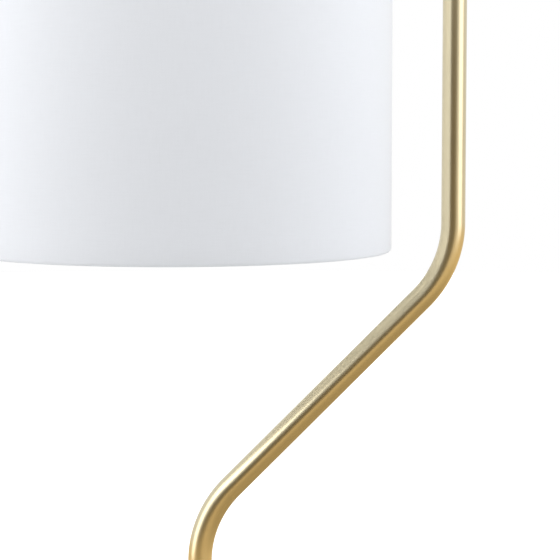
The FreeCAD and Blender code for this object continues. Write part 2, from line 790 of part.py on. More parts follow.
def make_pole():
    """Four tube sections, with a threaded insert in each end and a nipple in each joint."""
    sleeve("lower_tube", TUBE_BORE_R, TUBE_R, COVER_TOP, JOINT_1_Z)
    sleeve("middle_tube", TUBE_BORE_R, TUBE_R, JOINT_1_Z, JOINT_2_Z)
    make_angled_tube()
    make_arc_tube()
    long = S["insert_length"]
    inserts = [
        ("lower_tube_bottom_insert", COVER_TOP, 0.0),
        ("lower_tube_top_insert", JOINT_1_Z - long, 0.0),
        ("middle_tube_bottom_insert", JOINT_1_Z, 0.0),
        ("middle_tube_top_insert", JOINT_2_Z - long, 0.0),
        ("angled_tube_bottom_insert", JOINT_2_Z, 0.0),
        ("angled_tube_top_insert", JOINT_3_Z - long, UPPER_X),
        ("arc_tube_bottom_insert", JOINT_3_Z, UPPER_X),
        ("arc_tube_socket_insert", ARC_END_Z, SHADE_X),
    ]
    for label, bottom, x in inserts:
        sleeve(label, THREAD_BORE_R, TUBE_BORE_R - S["press_gap"], bottom, bottom + long, x)
    half = S["nipple_length"] / 2
    nipples = [
        ("lower_joint_nipple", JOINT_1_Z, 0.0),
        ("middle_joint_nipple", JOINT_2_Z, 0.0),
        ("upper_joint_nipple", JOINT_3_Z, UPPER_X),
        ("socket_nipple", ARC_END_Z, SHADE_X),
    ]
    for label, height, x in nipples:
        sleeve(label, S["nipple_bore"] / 2, NIPPLE_R, height - half, height + half, x)


def make_internal_lead():
    """Two-core lead from the terminal block, through the whole pole, to the switch."""
    body = new_body("internal_lead")
    path = new_sketch(body, "path")
    corners = [(BLOCK_X, LEAD_Z), (0.0, LEAD_Z)] + POLE_CORNERS + [(UPPER_X, ARC_SPRING_Z)]
    radii = [S["lead_base_bend"], S["bend_radius"], S["bend_radius"]]
    hook_path(path, corners, radii, SHADE_X, SWITCH_TOP)
    section = circle_sketch(body, "section", [LEAD_R], "YZ_Plane", BLOCK_X, (0.0, LEAD_Z))
    sweep(body, section, path)


# ---------------------------------------------------------------- socket and switch


def make_socket_cup():
    """Metal husk between the end of the arc and the shade."""
    body = new_body("socket_cup")
    high, corner = CUP_HEIGHT, S["cup_corner"]
    roof, inner_corner = high - S["cup_wall"], corner - S["cup_wall"]
    outline = draw_outline(
        new_sketch(body, "outline"),
        (CUP_BORE_R, 0.0),
        [
            line_to(CUP_R, 0.0),
            line_to(CUP_R, high - corner),
            arc_to(CUP_R - corner, high, CUP_R - corner, high - corner),
            line_to(STUD_HOLE_R, high),
            line_to(STUD_HOLE_R, roof),
            line_to(CUP_R - corner, roof),
            arc_to(CUP_BORE_R, roof - inner_corner, CUP_R - corner, roof - inner_corner, True),
        ],
    )
    revolve(body, outline)
    hole_r = BUSHING_R + S["thread_gap"]
    centre = (0.0, SWITCH_AXIS_Z - SHOULDER_TOP)
    side = circle_sketch(body, "bushing_hole", [hole_r], "XZ_Plane", centre=centre)
    cut(body, side, CUP_R + 1, reverse=True)
    place(body, x=SHADE_X, z=SHOULDER_TOP)


def screw_holes(body, top, depth):
    """The pair of holes, down from the top, for the screws that hold the socket together."""
    radius = S["socket_screw_diameter"] / 2 + S["thread_gap"]
    for name, x in (("left_hole", -SOCKET_SCREW_X), ("right_hole", SOCKET_SCREW_X)):
        cut(body, circle_sketch(body, name, [radius], offset=top, centre=(x, 0.0)), depth)


def make_socket():
    """Insulating housing with its shoulder and threaded skirt, and the live parts inside."""
    body = new_body("socket_housing")
    low, shoulder_low = SKIRT_BOTTOM - SHOULDER_TOP, -S["shoulder_height"]
    roof = HOUSING_ROOF - SHOULDER_TOP
    outline = draw_outline(
        new_sketch(body, "outline"),
        (0.0, roof),
        [
            line_to(SKIRT_BORE_R, roof),
            line_to(SKIRT_BORE_R, low),
            line_to(SKIRT_R, low),
            line_to(SKIRT_R, shoulder_low),
            line_to(SHOULDER_R, shoulder_low),
            line_to(SHOULDER_R, 0.0),
            line_to(SOCKET_R, 0.0),
            line_to(SOCKET_R, S["housing_height"]),
            line_to(0.0, S["housing_height"]),
        ],
    )
    revolve(body, outline)
    screw_holes(body, S["housing_height"], SOCKET_SCREW_HOLE)
    place(body, x=SHADE_X, z=SHOULDER_TOP)

    shell_bottom = SKIRT_BOTTOM + S["shell_inset"]
    shell_r = SKIRT_BORE_R - S["press_gap"]
    sleeve("screw_shell", SHELL_BORE_R, shell_r, shell_bottom, HOUSING_ROOF, SHADE_X)
    turned(
        "centre_contact",
        (0.0, 0.0),
        [
            line_to(S["contact_diameter"] / 2, 0.0),
            line_to(S["contact_diameter"] / 2, S["contact_thickness"]),
            line_to(S["contact_thickness"] * 2, S["contact_thickness"] * 3),
            line_to(S["contact_thickness"] * 2, HOUSING_ROOF - CONTACT_Z),
            line_to(0.0, HOUSING_ROOF - CONTACT_Z),
        ],
        x=SHADE_X,
        z=CONTACT_Z,
    )
    hex_nut("socket_locknut", ARC_END_Z - S["cup_wall"] - S["nut_height"], SHADE_X)


def make_switch():
    """Rotary switch block, its shaft, the bushing in the husk's side, and the knob."""
    body = sleeve("switch_block", 0.0, SOCKET_R, HOUSING_TOP, SWITCH_TOP, SHADE_X)
    high = S["switch_block_height"]
    screw_holes(body, high, high)
    centre = (0.0, high / 2)
    bore = circle_sketch(body, "bore", [SHAFT_BORE_R], "XZ_Plane", SHAFT_SEAT, centre)
    cut(body, bore, SOCKET_R, reverse=True)
    make_socket_screws(high + S["socket_screw_bite"])
    make_switch_bushing()
    make_switch_knob()


def make_socket_screws(long):
    """Two long screws, down through the switch block into the housing."""
    screws = []
    for x in (-SOCKET_SCREW_X, SOCKET_SCREW_X):
        shank = doc.addObject("Part::Cylinder", "socket_screw_shank")
        bind(shank, "Radius", S["socket_screw_diameter"] / 2)
        bind(shank, "Height", long)
        place(shank, x=x, z=-long)
        head = doc.addObject("Part::Cylinder", "socket_screw_head")
        bind(head, "Radius", S["socket_screw_head"] / 2)
        bind(head, "Height", S["socket_screw_head_height"])
        place(head, x=x)
        screw = doc.addObject("Part::Fuse", "socket_screw")
        screw.Base, screw.Tool = shank, head
        screws.append(screw)
    group = keep(doc.addObject("Part::Compound", "socket_screws"), "socket_screws")
    group.Links = screws
    place(group, x=SHADE_X, z=SWITCH_TOP)


def horizontal_turned(label, outline_start, steps):
    """A body turned about the switch's axis, which points to the front from the husk's middle."""
    body = new_body(label)
    outline = draw_outline(new_sketch(body, "outline", "YZ_Plane"), outline_start, steps)
    revolve(body, outline, "H_Axis")
    place(body, x=SHADE_X, z=SWITCH_AXIS_Z)
    return body


def make_switch_bushing():
    """Flanged bush in the husk's side, which the switch's shaft turns in."""
    flange_r = BUSHING_R + S["bushing_flange_width"]
    front, corner = CUP_R + S["bushing_flange_thickness"], S["bushing_chamfer"]
    horizontal_turned(
        "switch_bushing",
        (-SOCKET_R, SHAFT_BORE_R),
        [
            line_to(-SOCKET_R, BUSHING_R),
            line_to(-CUP_R, BUSHING_R),
            line_to(-CUP_R, flange_r),
            line_to(-front + corner, flange_r),
            line_to(-front, flange_r - corner),
            line_to(-front, SHAFT_BORE_R),
        ],
    )


def make_switch_knob():
    """The switch's shaft and the ribbed knob pressed on its end."""
    knob_back = CUP_R + S["bushing_flange_thickness"] + S["knob_stand_off"]
    knob_front = knob_back + S["knob_length"]
    shaft_front = knob_back + S["knob_grip"]
    shaft_back = SHAFT_SEAT + S["switch_shaft_end_gap"]
    horizontal_turned(
        "switch_shaft",
        (-shaft_back, 0.0),
        [
            line_to(-shaft_back, SHAFT_R),
            line_to(-shaft_front, SHAFT_R),
            line_to(-shaft_front, 0.0),
        ],
    )
    knob_r, hub_r = S["knob_diameter"] / 2, SHAFT_R + S["press_gap"]
    corner, rib = S["knob_corner"], S["knob_rib_depth"]
    body = horizontal_turned(
        "switch_knob",
        (-knob_back, hub_r),
        [
            line_to(-knob_back, knob_r),
            line_to(-knob_front + corner, knob_r),
            arc_to(-knob_front, knob_r - corner, -knob_front + corner, knob_r - corner),
            line_to(-knob_front, 0.0),
            line_to(-shaft_front, 0.0),
            line_to(-shaft_front, hub_r),
        ],
    )
    start, centre = knob_back + S["knob_collar"], (0.0, knob_r + rib)
    groove = circle_sketch(body, "groove", [rib * 2], "XZ_Plane", start, centre)
    feature = cut(body, groove, S["knob_length"], reverse=True)
    polar_pattern(body, feature, "Y_Axis", S["knob_rib_count"])


# ---------------------------------------------------------------- shade


def make_shade_ring():
    """Ribbed ring nut that clamps the shade's fitter against the socket's shoulder."""
    body = sleeve("shade_ring", RING_BORE_R, RING_R, RING_TOP - S["ring_height"], RING_TOP, SHADE_X)
    rib = S["ring_rib_depth"]
    groove = circle_sketch(body, "groove", [rib * 2], centre=(RING_R + rib, 0.0))
    feature = cut(body, groove, S["ring_height"], reverse=True)
    polar_pattern(body, feature, "Z_Axis", S["ring_rib_count"])


def wire_hoop(body, height):
    """Adds a hoop of round wire at a height in the body."""
    sketch = new_sketch(body, "hoop")
    middle = FreeCAD.Vector(HOOP_R.value, as_size(height).value, 0)
    circle = Part.Circle(middle, FreeCAD.Vector(0, 0, 1), WIRE_R.value)
    geometry = sketch.addGeometry(circle, False)
    pin(sketch, geometry, 3, HOOP_R, height)
    constrain(sketch, "Radius", WIRE_R, geometry)
    return revolve(body, sketch)


def make_shade_spider():
    """Welded frame of the shade's top: fitter washer, cranked arms and the upper hoop."""
    body = new_body("shade_spider")
    thick = S["fitter_thickness"]
    revolve(body, box_outline(new_sketch(body, "washer"), FITTER_BORE_R, FITTER_R, 0.0, thick))
    hoop_height = TOP_HOOP_Z - FITTER_BOTTOM
    weld = FITTER_R - S["arm_weld"]
    knee = FITTER_R + S["arm_reach"]
    corners = [
        (weld, thick / 2),
        (knee, thick / 2),
        (knee + S["arm_crank"], hoop_height),
        (HOOP_R, hoop_height),
    ]
    path = new_sketch(body, "arm_path")
    bent_path(path, corners, [S["arm_bend_radius"]] * 2)
    section = circle_sketch(body, "arm_section", [WIRE_R], "YZ_Plane", weld, (0.0, thick / 2))
    arm = sweep(body, section, path)
    doc.recompute()
    polar_pattern(body, arm, "Z_Axis", S["arm_count"])
    wire_hoop(body, hoop_height)
    place(body, x=SHADE_X, z=FITTER_BOTTOM)


def make_bottom_hoop():
    body = new_body("shade_bottom_hoop")
    wire_hoop(body, 0.0)
    place(body, x=SHADE_X, z=BOTTOM_HOOP_Z)


def make_shade_skin():
    """Stiff liner, and the cloth outside it that turns in round both hoops."""
    sleeve("shade_liner", LINER_BORE_R, LINER_R, BOTTOM_HOOP_Z, TOP_HOOP_Z, SHADE_X)
    body = new_body("shade_fabric")
    top, cloth = TOP_HOOP_Z - BOTTOM_HOOP_Z, S["fabric_thickness"]
    lip_out = LINER_BORE_R - S["layer_gap"]
    lip_in = lip_out - cloth
    slope, end = S["hem_slope"], S["hem_slope"] + S["hem_turn_in"]
    outline = draw_outline(
        new_sketch(body, "outline"),
        (SHADE_R, top),
        [
            arc_to(HOOP_R - HEM_R, top, HOOP_R, top),
            line_to(lip_in, top - slope),
            line_to(lip_in, top - end),
            line_to(lip_out, top - end),
            line_to(lip_out, top - slope),
            line_to(HOOP_R - HEM_BORE_R, top),
            arc_to(HOOP_R + HEM_BORE_R, top, HOOP_R, top, clockwise=True),
            line_to(HOOP_R + HEM_BORE_R, 0.0),
            arc_to(HOOP_R - HEM_BORE_R, 0.0, HOOP_R, 0.0, clockwise=True),
            line_to(lip_out, slope),
            line_to(lip_out, end),
            line_to(lip_in, end),
            line_to(lip_in, slope),
            line_to(HOOP_R - HEM_R, 0.0),
            arc_to(SHADE_R, 0.0, HOOP_R, 0.0),
        ],
    )
    revolve(body, outline)
    notch_r = WIRE_R + S["arm_notch_gap"]
    start = HOOP_R - HEM_R * 2
    notch = circle_sketch(body, "arm_notch", [notch_r], "YZ_Plane", start, (0.0, top))
    feature = cut(body, notch, HEM_R * 2, reverse=True)
    polar_pattern(body, feature, "Z_Axis", S["arm_count"])
    place(body, x=SHADE_X, z=BOTTOM_HOOP_Z)


# ---------------------------------------------------------------- bulb


def make_bulb():
    """Screw-in lamp bulb: cap, tip, body and frosted globe."""
    cap_r = SHELL_BORE_R - S["bulb_cap_gap"]
    tip_top = CONTACT_Z - S["clamp_gap"]
    cap_top = tip_top - S["bulb_tip_height"] - S["bulb_insulator_height"]
    cap_bottom = cap_top - S["bulb_cap_length"]
    plug_r = cap_r - S["bulb_cap_wall"]
    sleeve("bulb_cap", plug_r, cap_r, cap_bottom, cap_top, SHADE_X)
    tip_r = S["bulb_tip_diameter"] / 2
    turned(
        "bulb_contact",
        (0.0, 0.0),
        [
            line_to(cap_r, 0.0),
            line_to(tip_r, S["bulb_insulator_height"]),
            line_to(tip_r, S["bulb_insulator_height"] + S["bulb_tip_height"]),
            line_to(0.0, S["bulb_insulator_height"] + S["bulb_tip_height"]),
        ],
        x=SHADE_X,
        z=cap_top,
    )
    flare_r = S["bulb_globe_diameter"] / 2 - S["bulb_rim_inset"]
    neck = SKIRT_BOTTOM - S["bulb_neck_reach"] - cap_bottom
    flare = neck - S["bulb_flare_length"]
    seat_r = flare_r - S["bulb_globe_wall"]
    turned(
        "bulb_body",
        (0.0, S["bulb_cap_plug"]),
        [
            line_to(0.0, flare - S["bulb_globe_lip"]),
            line_to(seat_r - S["press_gap"], flare - S["bulb_globe_lip"]),
            line_to(seat_r - S["press_gap"], flare),
            line_to(flare_r, flare),
            line_to(cap_r, neck),
            line_to(cap_r, 0.0),
            line_to(plug_r - S["press_gap"], 0.0),
            line_to(plug_r - S["press_gap"], S["bulb_cap_plug"]),
        ],
        x=SHADE_X,
        z=cap_bottom,
    )
    make_bulb_globe(flare_r, cap_bottom + flare)


def make_bulb_globe(rim_r, rim_z):
    """Hollow globe, cut off flat where it meets the bulb's body."""
    globe_r = S["bulb_globe_diameter"] / 2
    inner_globe_r = globe_r - S["bulb_globe_wall"]
    inner_rim_r = rim_r - S["bulb_globe_wall"]
    drop, inner_drop = other_leg(globe_r, rim_r), other_leg(inner_globe_r, inner_rim_r)
    turned(
        "bulb_globe",
        (rim_r, 0.0),
        [
            arc_to(0.0, -(drop + globe_r), 0.0, -drop, clockwise=True),
            line_to(0.0, -(inner_drop + inner_globe_r)),
            arc_to(inner_rim_r, 0.0, 0.0, -inner_drop),
        ],
        x=SHADE_X,
        z=rim_z,
    )


# ---------------------------------------------------------------- build, check and write


def check_and_write():
    """Stops on any failed object or bad shape, then writes one file for each sub-part."""
    doc.recompute()
    for thing in doc.Objects:
        if "Invalid" in thing.State or "Error" in thing.State:
            raise RuntimeError(f"{thing.Label} failed: {thing.State}")
    os.makedirs("parts", exist_ok=True)
    for thing in subparts:
        shape = thing.Shape
        if shape.isNull() or not shape.isValid() or not shape.Solids or shape.Volume <= 0:
            raise RuntimeError(f"{thing.Label}: bad shape")
        shape.exportStep(os.path.join("parts", f"{thing.Label}.step"))
        print(f"{thing.Label}: {len(shape.Solids)} solid(s), {shape.Volume / 1000:.2f} cm3")


make_base_pad()
make_base_weight()
make_base_cover()
make_base_hardware()
make_base_collar()
make_cord_grommet()
make_terminal_block()
make_pole()
make_internal_lead()
make_socket_cup()
make_socket()
make_switch()
make_shade_ring()
make_shade_spider()
make_bottom_hoop()
make_shade_skin()
make_bulb()
check_and_write()
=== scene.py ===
import math

import bmesh
import bpy
from mathutils import Matrix, Vector


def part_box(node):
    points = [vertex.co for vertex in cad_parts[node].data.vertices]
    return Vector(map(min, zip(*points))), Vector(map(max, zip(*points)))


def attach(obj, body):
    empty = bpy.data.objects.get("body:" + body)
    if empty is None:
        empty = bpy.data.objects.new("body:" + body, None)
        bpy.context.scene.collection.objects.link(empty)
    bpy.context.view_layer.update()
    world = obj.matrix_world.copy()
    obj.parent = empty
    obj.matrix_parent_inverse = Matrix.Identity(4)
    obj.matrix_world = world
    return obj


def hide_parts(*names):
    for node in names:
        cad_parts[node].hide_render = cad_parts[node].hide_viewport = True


# The looks of an arc floor lamp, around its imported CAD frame. Metres, +Z up, with the origin on
# the floor under the lower pole. The pole is kinked towards +X, and its arc brings the shade
# back over the base.

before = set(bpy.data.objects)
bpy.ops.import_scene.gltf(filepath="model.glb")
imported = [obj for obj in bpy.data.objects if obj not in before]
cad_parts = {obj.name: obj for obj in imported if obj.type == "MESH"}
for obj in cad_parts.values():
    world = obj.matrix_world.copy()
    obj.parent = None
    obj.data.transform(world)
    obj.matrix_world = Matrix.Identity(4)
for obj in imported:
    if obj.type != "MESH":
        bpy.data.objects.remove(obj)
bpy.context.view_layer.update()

MM = 0.001
BACK = math.pi / 2  # the heading of +Y, where seams are turned to


# ---------------------------------------------------------------- sizes, most from the frame


def top(node):
    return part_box(node)[1].z


def bottom(node):
    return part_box(node)[0].z


def radius(node, axis_x=0.0):
    """A round node's outer radius about an upright axis."""
    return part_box(node)[1].x - axis_x


def middle(node):
    low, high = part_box(node)
    return (low + high) / 2


TUBE_R = radius("lower_tube")
TUBE_BORE_R = radius("lower_tube_top_insert")
UPPER_X = middle("upper_joint_nipple").x
SHADE_X = middle("arc_tube_socket_insert").x
LOWER_LEG = 104 * MM
BEND_R = 90 * MM
SHADE_AXIS = Vector((SHADE_X, 0, 0))
SHADE_R = radius("shade_fabric", SHADE_X)
WIRE_R = (top("shade_bottom_hoop") - bottom("shade_bottom_hoop")) / 2
HOOP_R = radius("shade_bottom_hoop", SHADE_X) - WIRE_R
BOTTOM_HOOP_Z = bottom("shade_bottom_hoop") + WIRE_R
CLOTH = 0.6 * MM
HEM_R = SHADE_R - HOOP_R
TOP_HOOP_Z = top("shade_fabric") - HEM_R
STUD_HOLE_R = 5.3 * MM
COVER_WALL = 1.2 * MM
BULB_PITCH = 3.6 * MM
LINER_WALL = 0.8 * MM
TURN_IN = 10 * MM  # of the cloth's edges, inside the hoops
ARM_HEADINGS = [math.tau * k / 3 for k in range(3)]  # of the spider's arms


# ---------------------------------------------------------------- mesh helpers


def finish_mesh(name, bm, sharp=35.0):
    """Turns a bmesh into an object whose faces are smooth, apart from edges over the sharp angle."""
    bmesh.ops.remove_doubles(bm, verts=bm.verts, dist=1e-7)
    bmesh.ops.recalc_face_normals(bm, faces=bm.faces)
    mesh = bpy.data.meshes.new(name)
    bm.to_mesh(mesh)
    bm.free()
    mesh.polygons.foreach_set("use_smooth", [True] * len(mesh.polygons))
    mesh.set_sharp_from_angle(angle=math.radians(sharp))
    piece = bpy.data.objects.new(name, mesh)
    bpy.context.scene.collection.objects.link(piece)
    return piece


def skin(name, rows, ring=True, loop=True, ends=False, sharp=35.0):
    """A surface through rows of points, with UV lengths in metres along and across the rows.

    ring joins the last point of each row to its first, and loop the last row to the first.
    ends closes an open strip folded from two layers, whose rows come back beside themselves.
    """
    bm = bmesh.new()
    uv_layer = bm.loops.layers.uv.new("UVMap")
    points = [[bm.verts.new(p) for p in row] for row in rows]
    across = max(sum((a - b).length for a, b in zip(row, row[1:])) for row in rows)
    along = [0.0]
    for row, after in zip(rows, rows[1:] + rows[:1]):
        along.append(along[-1] + (after[0] - row[0]).length)
    count, width = len(rows), len(rows[0])
    step = across / (width - 1)
    for i in range(count if loop else count - 1):
        here, after = points[i], points[(i + 1) % count]
        for j in range(width if ring else width - 1):
            k = (j + 1) % width
            corners = (here[j], here[k], after[k], after[j])
            if len(set(tuple(v.co) for v in corners)) < 3:
                continue
            face = bm.faces.new(corners)
            uvs = ((j, i), (j + 1, i), (j + 1, i + 1), (j, i + 1))
            for corner, (u, v) in zip(face.loops, uvs):
                corner[uv_layer].uv = (u * step, along[v])
    if ends:
        for j in (0, width - 1):
            for i in range(count // 2 - 1):
                bm.faces.new([points[n][j] for n in (i, i + 1, count - 2 - i, count - 1 - i)])
    return finish_mesh(name, bm, sharp)


def rounded(corners, steps=6):
    """A closed outline through (r, z, fillet) corners, with each fillet as an arc."""
    outline = []
    for i, (r, z, fillet) in enumerate(corners):
        here = Vector((r, z))
        before = (Vector(corners[i - 1][:2]) - here).normalized()
        after = (Vector(corners[(i + 1) % len(corners)][:2]) - here).normalized()
        if not fillet:
            outline.append(here)
            continue
        half = before.angle(after) / 2
        centre = here + (before + after).normalized() * fillet / math.sin(half)
        start = here + before * fillet / math.tan(half) - centre
        end = here + after * fillet / math.tan(half) - centre
        turn = math.remainder(
            math.atan2(end.y, end.x) - math.atan2(start.y, start.x), math.tau
        )
        for k in range(steps + 1):
            angle = math.atan2(start.y, start.x) + turn * k / steps
            outline.append(centre + fillet * Vector((math.cos(angle), math.sin(angle))))
    return outline


def divided(outline, longest):
    """The same closed outline, with points added so that no side is over the longest length."""
    finer = []
    for here, after in zip(outline, outline[1:] + outline[:1]):
        parts = max(1, math.ceil((after - here).length / longest))
        finer += [here.lerp(after, k / parts) for k in range(parts)]
    return finer


def upright(origin):
    """Places an (angle, r, z) point about a vertical axis."""
    return lambda angle, r, z: origin + Vector((r * math.cos(angle), r * math.sin(angle), z))


def level(origin, side):
    """Places an (angle, r, z) point about an axis along Y, with z outwards to the side given."""
    return lambda angle, r, z: origin + Vector((r * math.cos(angle), side * z, r * math.sin(angle)))


def lathe(name, outline, place, columns=192, shape=None, sharp=35.0):
    """Turns a closed outline about an axis. shape(angle, r, z) gives another radius, as for ribs."""
    rows = []
    for r, z in outline:
        row = []
        for j in range(columns):
            angle = BACK + math.tau * j / columns
            row.append(place(angle, shape(angle, r, z) if shape else r, z))
        rows.append(row)
    return skin(name, rows, sharp=sharp)


def sleeve_outline(inner, outer, low, high):
    """A plain sleeve's section."""
    return [Vector((inner, low)), Vector((outer, low)), Vector((outer, high)), Vector((inner, high))]


def ring_outline(r, z, wire, steps=20):
    """A round wire's section."""
    angles = [math.tau * k / steps for k in range(steps)]
    return [Vector((r + wire * math.cos(a), z + wire * math.sin(a))) for a in angles]


def straight(start, heading, length, spacing=4 * MM):
    """Stations (x, z, heading) of a straight run, without its last point."""
    count = max(1, round(length / spacing))
    x, z = start
    return [
        (x + math.cos(heading) * length * k / count, z + math.sin(heading) * length * k / count, heading)
        for k in range(count)
    ]


def bend(start, heading, turn, bend_r, spacing=1.5 * MM):
    """Stations of a bend that starts where and as the last run ended, without its last point."""
    side = math.copysign(1, turn)
    centre = Vector(start) + side * bend_r * Vector((-math.sin(heading), math.cos(heading)))
    count = max(8, round(abs(turn) * bend_r / spacing))
    stations = []
    for k in range(count):
        angle = heading + turn * k / count
        x, z = centre - side * bend_r * Vector((-math.sin(angle), math.cos(angle)))
        stations.append((x, z, angle))
    return stations


def follow(start, heading, moves):
    """Stations along a path of moves: a length to run, or a (turn, radius) to bend."""
    stations = []
    x, z = start
    for move in moves:
        if isinstance(move, tuple):
            turn, bend_r = move
            stations += bend((x, z), heading, turn, bend_r)
            side = math.copysign(1, turn)
            x += side * bend_r * (math.sin(heading + turn) - math.sin(heading))
            z -= side * bend_r * (math.cos(heading + turn) - math.cos(heading))
            heading += turn
        else:
            stations += straight((x, z), heading, move)
            x += math.cos(heading) * move
            z += math.sin(heading) * move
    return stations + [(x, z, heading)]


def moved_on(station, length):
    x, z, heading = station
    return (x + math.cos(heading) * length, z + math.sin(heading) * length, heading)


def sweep(name, stations, outer, bore=0.0, edge=0.3 * MM, origin=Vector(), turned=0.0, columns=72):
    """A round bar or tube along stations in an upright plane, with its ends' edges broken."""
    first, last = stations[0], stations[-1]
    outside = [(first, outer - edge), (moved_on(first, edge), outer)]
    outside += [(s, outer) for s in stations[1:-1]]
    outside += [(moved_on(last, -edge), outer), (last, outer - edge)]
    inside = [(last, bore), (first, bore)] if bore == 0.0 else [(s, bore) for s in reversed(stations)]
    plane = Matrix.Rotation(turned, 3, "Z")
    rows = []
    for (x, z, heading), r in outside + inside:
        aside = Vector((math.sin(heading), 0, -math.cos(heading)))
        row = []
        for j in range(columns):
            angle = BACK + math.tau * j / columns
            local = Vector((x, 0, z)) + r * (math.cos(angle) * aside + math.sin(angle) * Vector((0, 1, 0)))
            row.append(origin + plane @ local)
        rows.append(row)
    return skin(name, rows)


def rod(name, start, end, r, columns=48):
    """A plain round bar for cutting holes with."""
    direction = end - start
    turn = Vector((0, 0, 1)).rotation_difference(direction).to_matrix()
    rows = []
    for centre, size in ((start, 0.0), (start, r), (end, r), (end, 0.0)):
        angles = [math.tau * j / columns for j in range(columns)]
        rows.append([centre + turn @ Vector((size * math.cos(a), size * math.sin(a), 0)) for a in angles])
    return skin(name, rows, loop=False)


def carve(piece, cutters, sharp=35.0):
    """Cuts the cutters out of a piece."""
    for cutter in cutters:
        hole = piece.modifiers.new("hole", "BOOLEAN")
        hole.operation, hole.solver, hole.object = "DIFFERENCE", "EXACT", cutter
    cut = piece.evaluated_get(bpy.context.evaluated_depsgraph_get())
    mesh = bpy.data.meshes.new_from_object(cut)
    piece.modifiers.clear()
    piece.data = mesh
    mesh.polygons.foreach_set("use_smooth", [True] * len(mesh.polygons))
    mesh.set_sharp_from_angle(angle=math.radians(sharp))
    for cutter in cutters:
        bpy.data.objects.remove(cutter)
    return piece


def stand_for(piece, body, *nodes, slot, material):
    """Puts a piece in the place of CAD nodes, with its finish."""
    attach(piece, body)
    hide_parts(*nodes)
    piece.data.materials.clear()
    piece.data.materials.append(material)
    return piece


# ---------------------------------------------------------------- material helpers


class Finish:
    """A material on the Principled shader, with short calls for the nodes that feed it."""

    def __init__(self, name, settings):
        self.material = bpy.data.materials.new(name)
        self.material.use_nodes = True
        self.tree = self.material.node_tree
        self.shader = self.tree.nodes["Principled BSDF"]
        for socket, value in settings.items():
            self.shader.inputs[socket].default_value = value

    def node(self, kind, inputs=(), **settings):
        """A new node. inputs give each socket's value, which can be another node's output."""
        made = self.tree.nodes.new(kind)
        for name, value in settings.items():
            setattr(made, name, value)
        for socket, value in dict(inputs).items():
            if isinstance(value, bpy.types.NodeSocket):
                self.tree.links.new(value, made.inputs[socket])
            else:
                made.inputs[socket].default_value = value
        return made

    def math(self, operation, *values):
        return self.node("ShaderNodeMath", enumerate(values), operation=operation).outputs[0]

    def stretched(self, scale, source="Object"):
        """Coordinates scaled along each axis: Object ones, or a surface's own UV lengths."""
        where = self.node("ShaderNodeTexCoord").outputs[source]
        return self.node("ShaderNodeMapping", {"Vector": where, "Scale": scale}).outputs[0]

    def noise(self, where, detail=3.0, roughness=0.5):
        inputs = {"Vector": where, "Scale": 1.0, "Detail": detail, "Roughness": roughness}
        return self.node("ShaderNodeTexNoise", inputs).outputs[0]

    def between(self, value, low, high):
        """A 0 to 1 value spread from low to high."""
        inputs = {"Value": value, "To Min": low, "To Max": high}
        return self.node("ShaderNodeMapRange", inputs).outputs[0]

    def shades(self, value, *stops):
        """A colour ramp through (place, colour) stops."""
        ramp = self.node("ShaderNodeValToRGB", {"Fac": value})
        elements = ramp.color_ramp.elements
        for element, (place, colour) in zip((elements[0], elements[-1]), (stops[0], stops[-1])):
            element.position, element.color = place, (*colour, 1)
        for place, colour in stops[1:-1]:
            elements.new(place).color = (*colour, 1)
        return ramp.outputs[0]

    def feed(self, socket, value):
        self.tree.links.new(value, self.shader.inputs[socket])

    def let_through(self, share, colour):
        """Lets a share of the light from behind show, as through thin cloth."""
        glow = self.node("ShaderNodeBsdfTranslucent", {"Color": (*colour, 1)}).outputs[0]
        mixed = self.node("ShaderNodeMixShader", {0: share, 1: self.shader.outputs[0], 2: glow}).outputs[0]
        self.tree.links.new(mixed, self.tree.nodes["Material Output"].inputs["Surface"])

    def bump(self, height, depth, strength=1.0):
        """Adds relief whose full height is the depth in metres."""
        inputs = {"Height": height, "Distance": depth, "Strength": strength}
        self.feed("Normal", self.node("ShaderNodeBump", inputs).outputs[0])


def tinted(colour, factor):
    return tuple(min(1.0, part * factor) for part in colour)


# ---------------------------------------------------------------- materials

BRASS = (0.84, 0.735, 0.49)
TURNED_BRASS = (0.76, 0.58, 0.28)


def satin_brass(name, streaks):
    """Brushed, lacquered brass. streaks gives the brush lines per metre across and along the UVs."""
    finish = Finish(name, {"Metallic": 1.0, "Coat Weight": 0.3, "Coat Roughness": 0.15})
    lines = finish.noise(finish.stretched((*streaks, 1), "UV"), detail=4.0, roughness=0.6)
    patches = finish.noise(finish.stretched((14, 14, 14)), detail=2.0)
    tone = finish.math("ADD", finish.math("MULTIPLY", lines, 0.35), finish.math("MULTIPLY", patches, 0.65))
    colour = finish.shades(tone, (0.3, tinted(BRASS, 0.96)), (0.5, BRASS), (0.7, tinted(BRASS, 1.03)))
    finish.feed("Base Color", colour)
    finish.feed("Roughness", finish.between(tone, 0.275, 0.295))
    return finish.material


def speckled(name, colour, settings, grain, depth, contrast=0.08, roughness=(0.4, 0.6), through=0.0):
    """A plain finish whose colour, gloss and relief vary with a fine grain, in grains per metre.
    through is the share of the light from behind that shows."""
    finish = Finish(name, settings)
    fine = finish.noise(finish.stretched((grain,) * 3), detail=4.0, roughness=0.6)
    broad = finish.noise(finish.stretched((grain / 12,) * 3), detail=2.0)
    tone = finish.math("ADD", finish.math("MULTIPLY", fine, 0.5), finish.math("MULTIPLY", broad, 0.5))
    ends = (0.3, tinted(colour, 1 - contrast)), (0.7, tinted(colour, 1 + contrast))
    finish.feed("Base Color", finish.shades(tone, *ends))
    finish.feed("Roughness", finish.between(tone, *roughness))
    finish.bump(fine, depth)
    if through:
        finish.let_through(through, colour)
    return finish.material


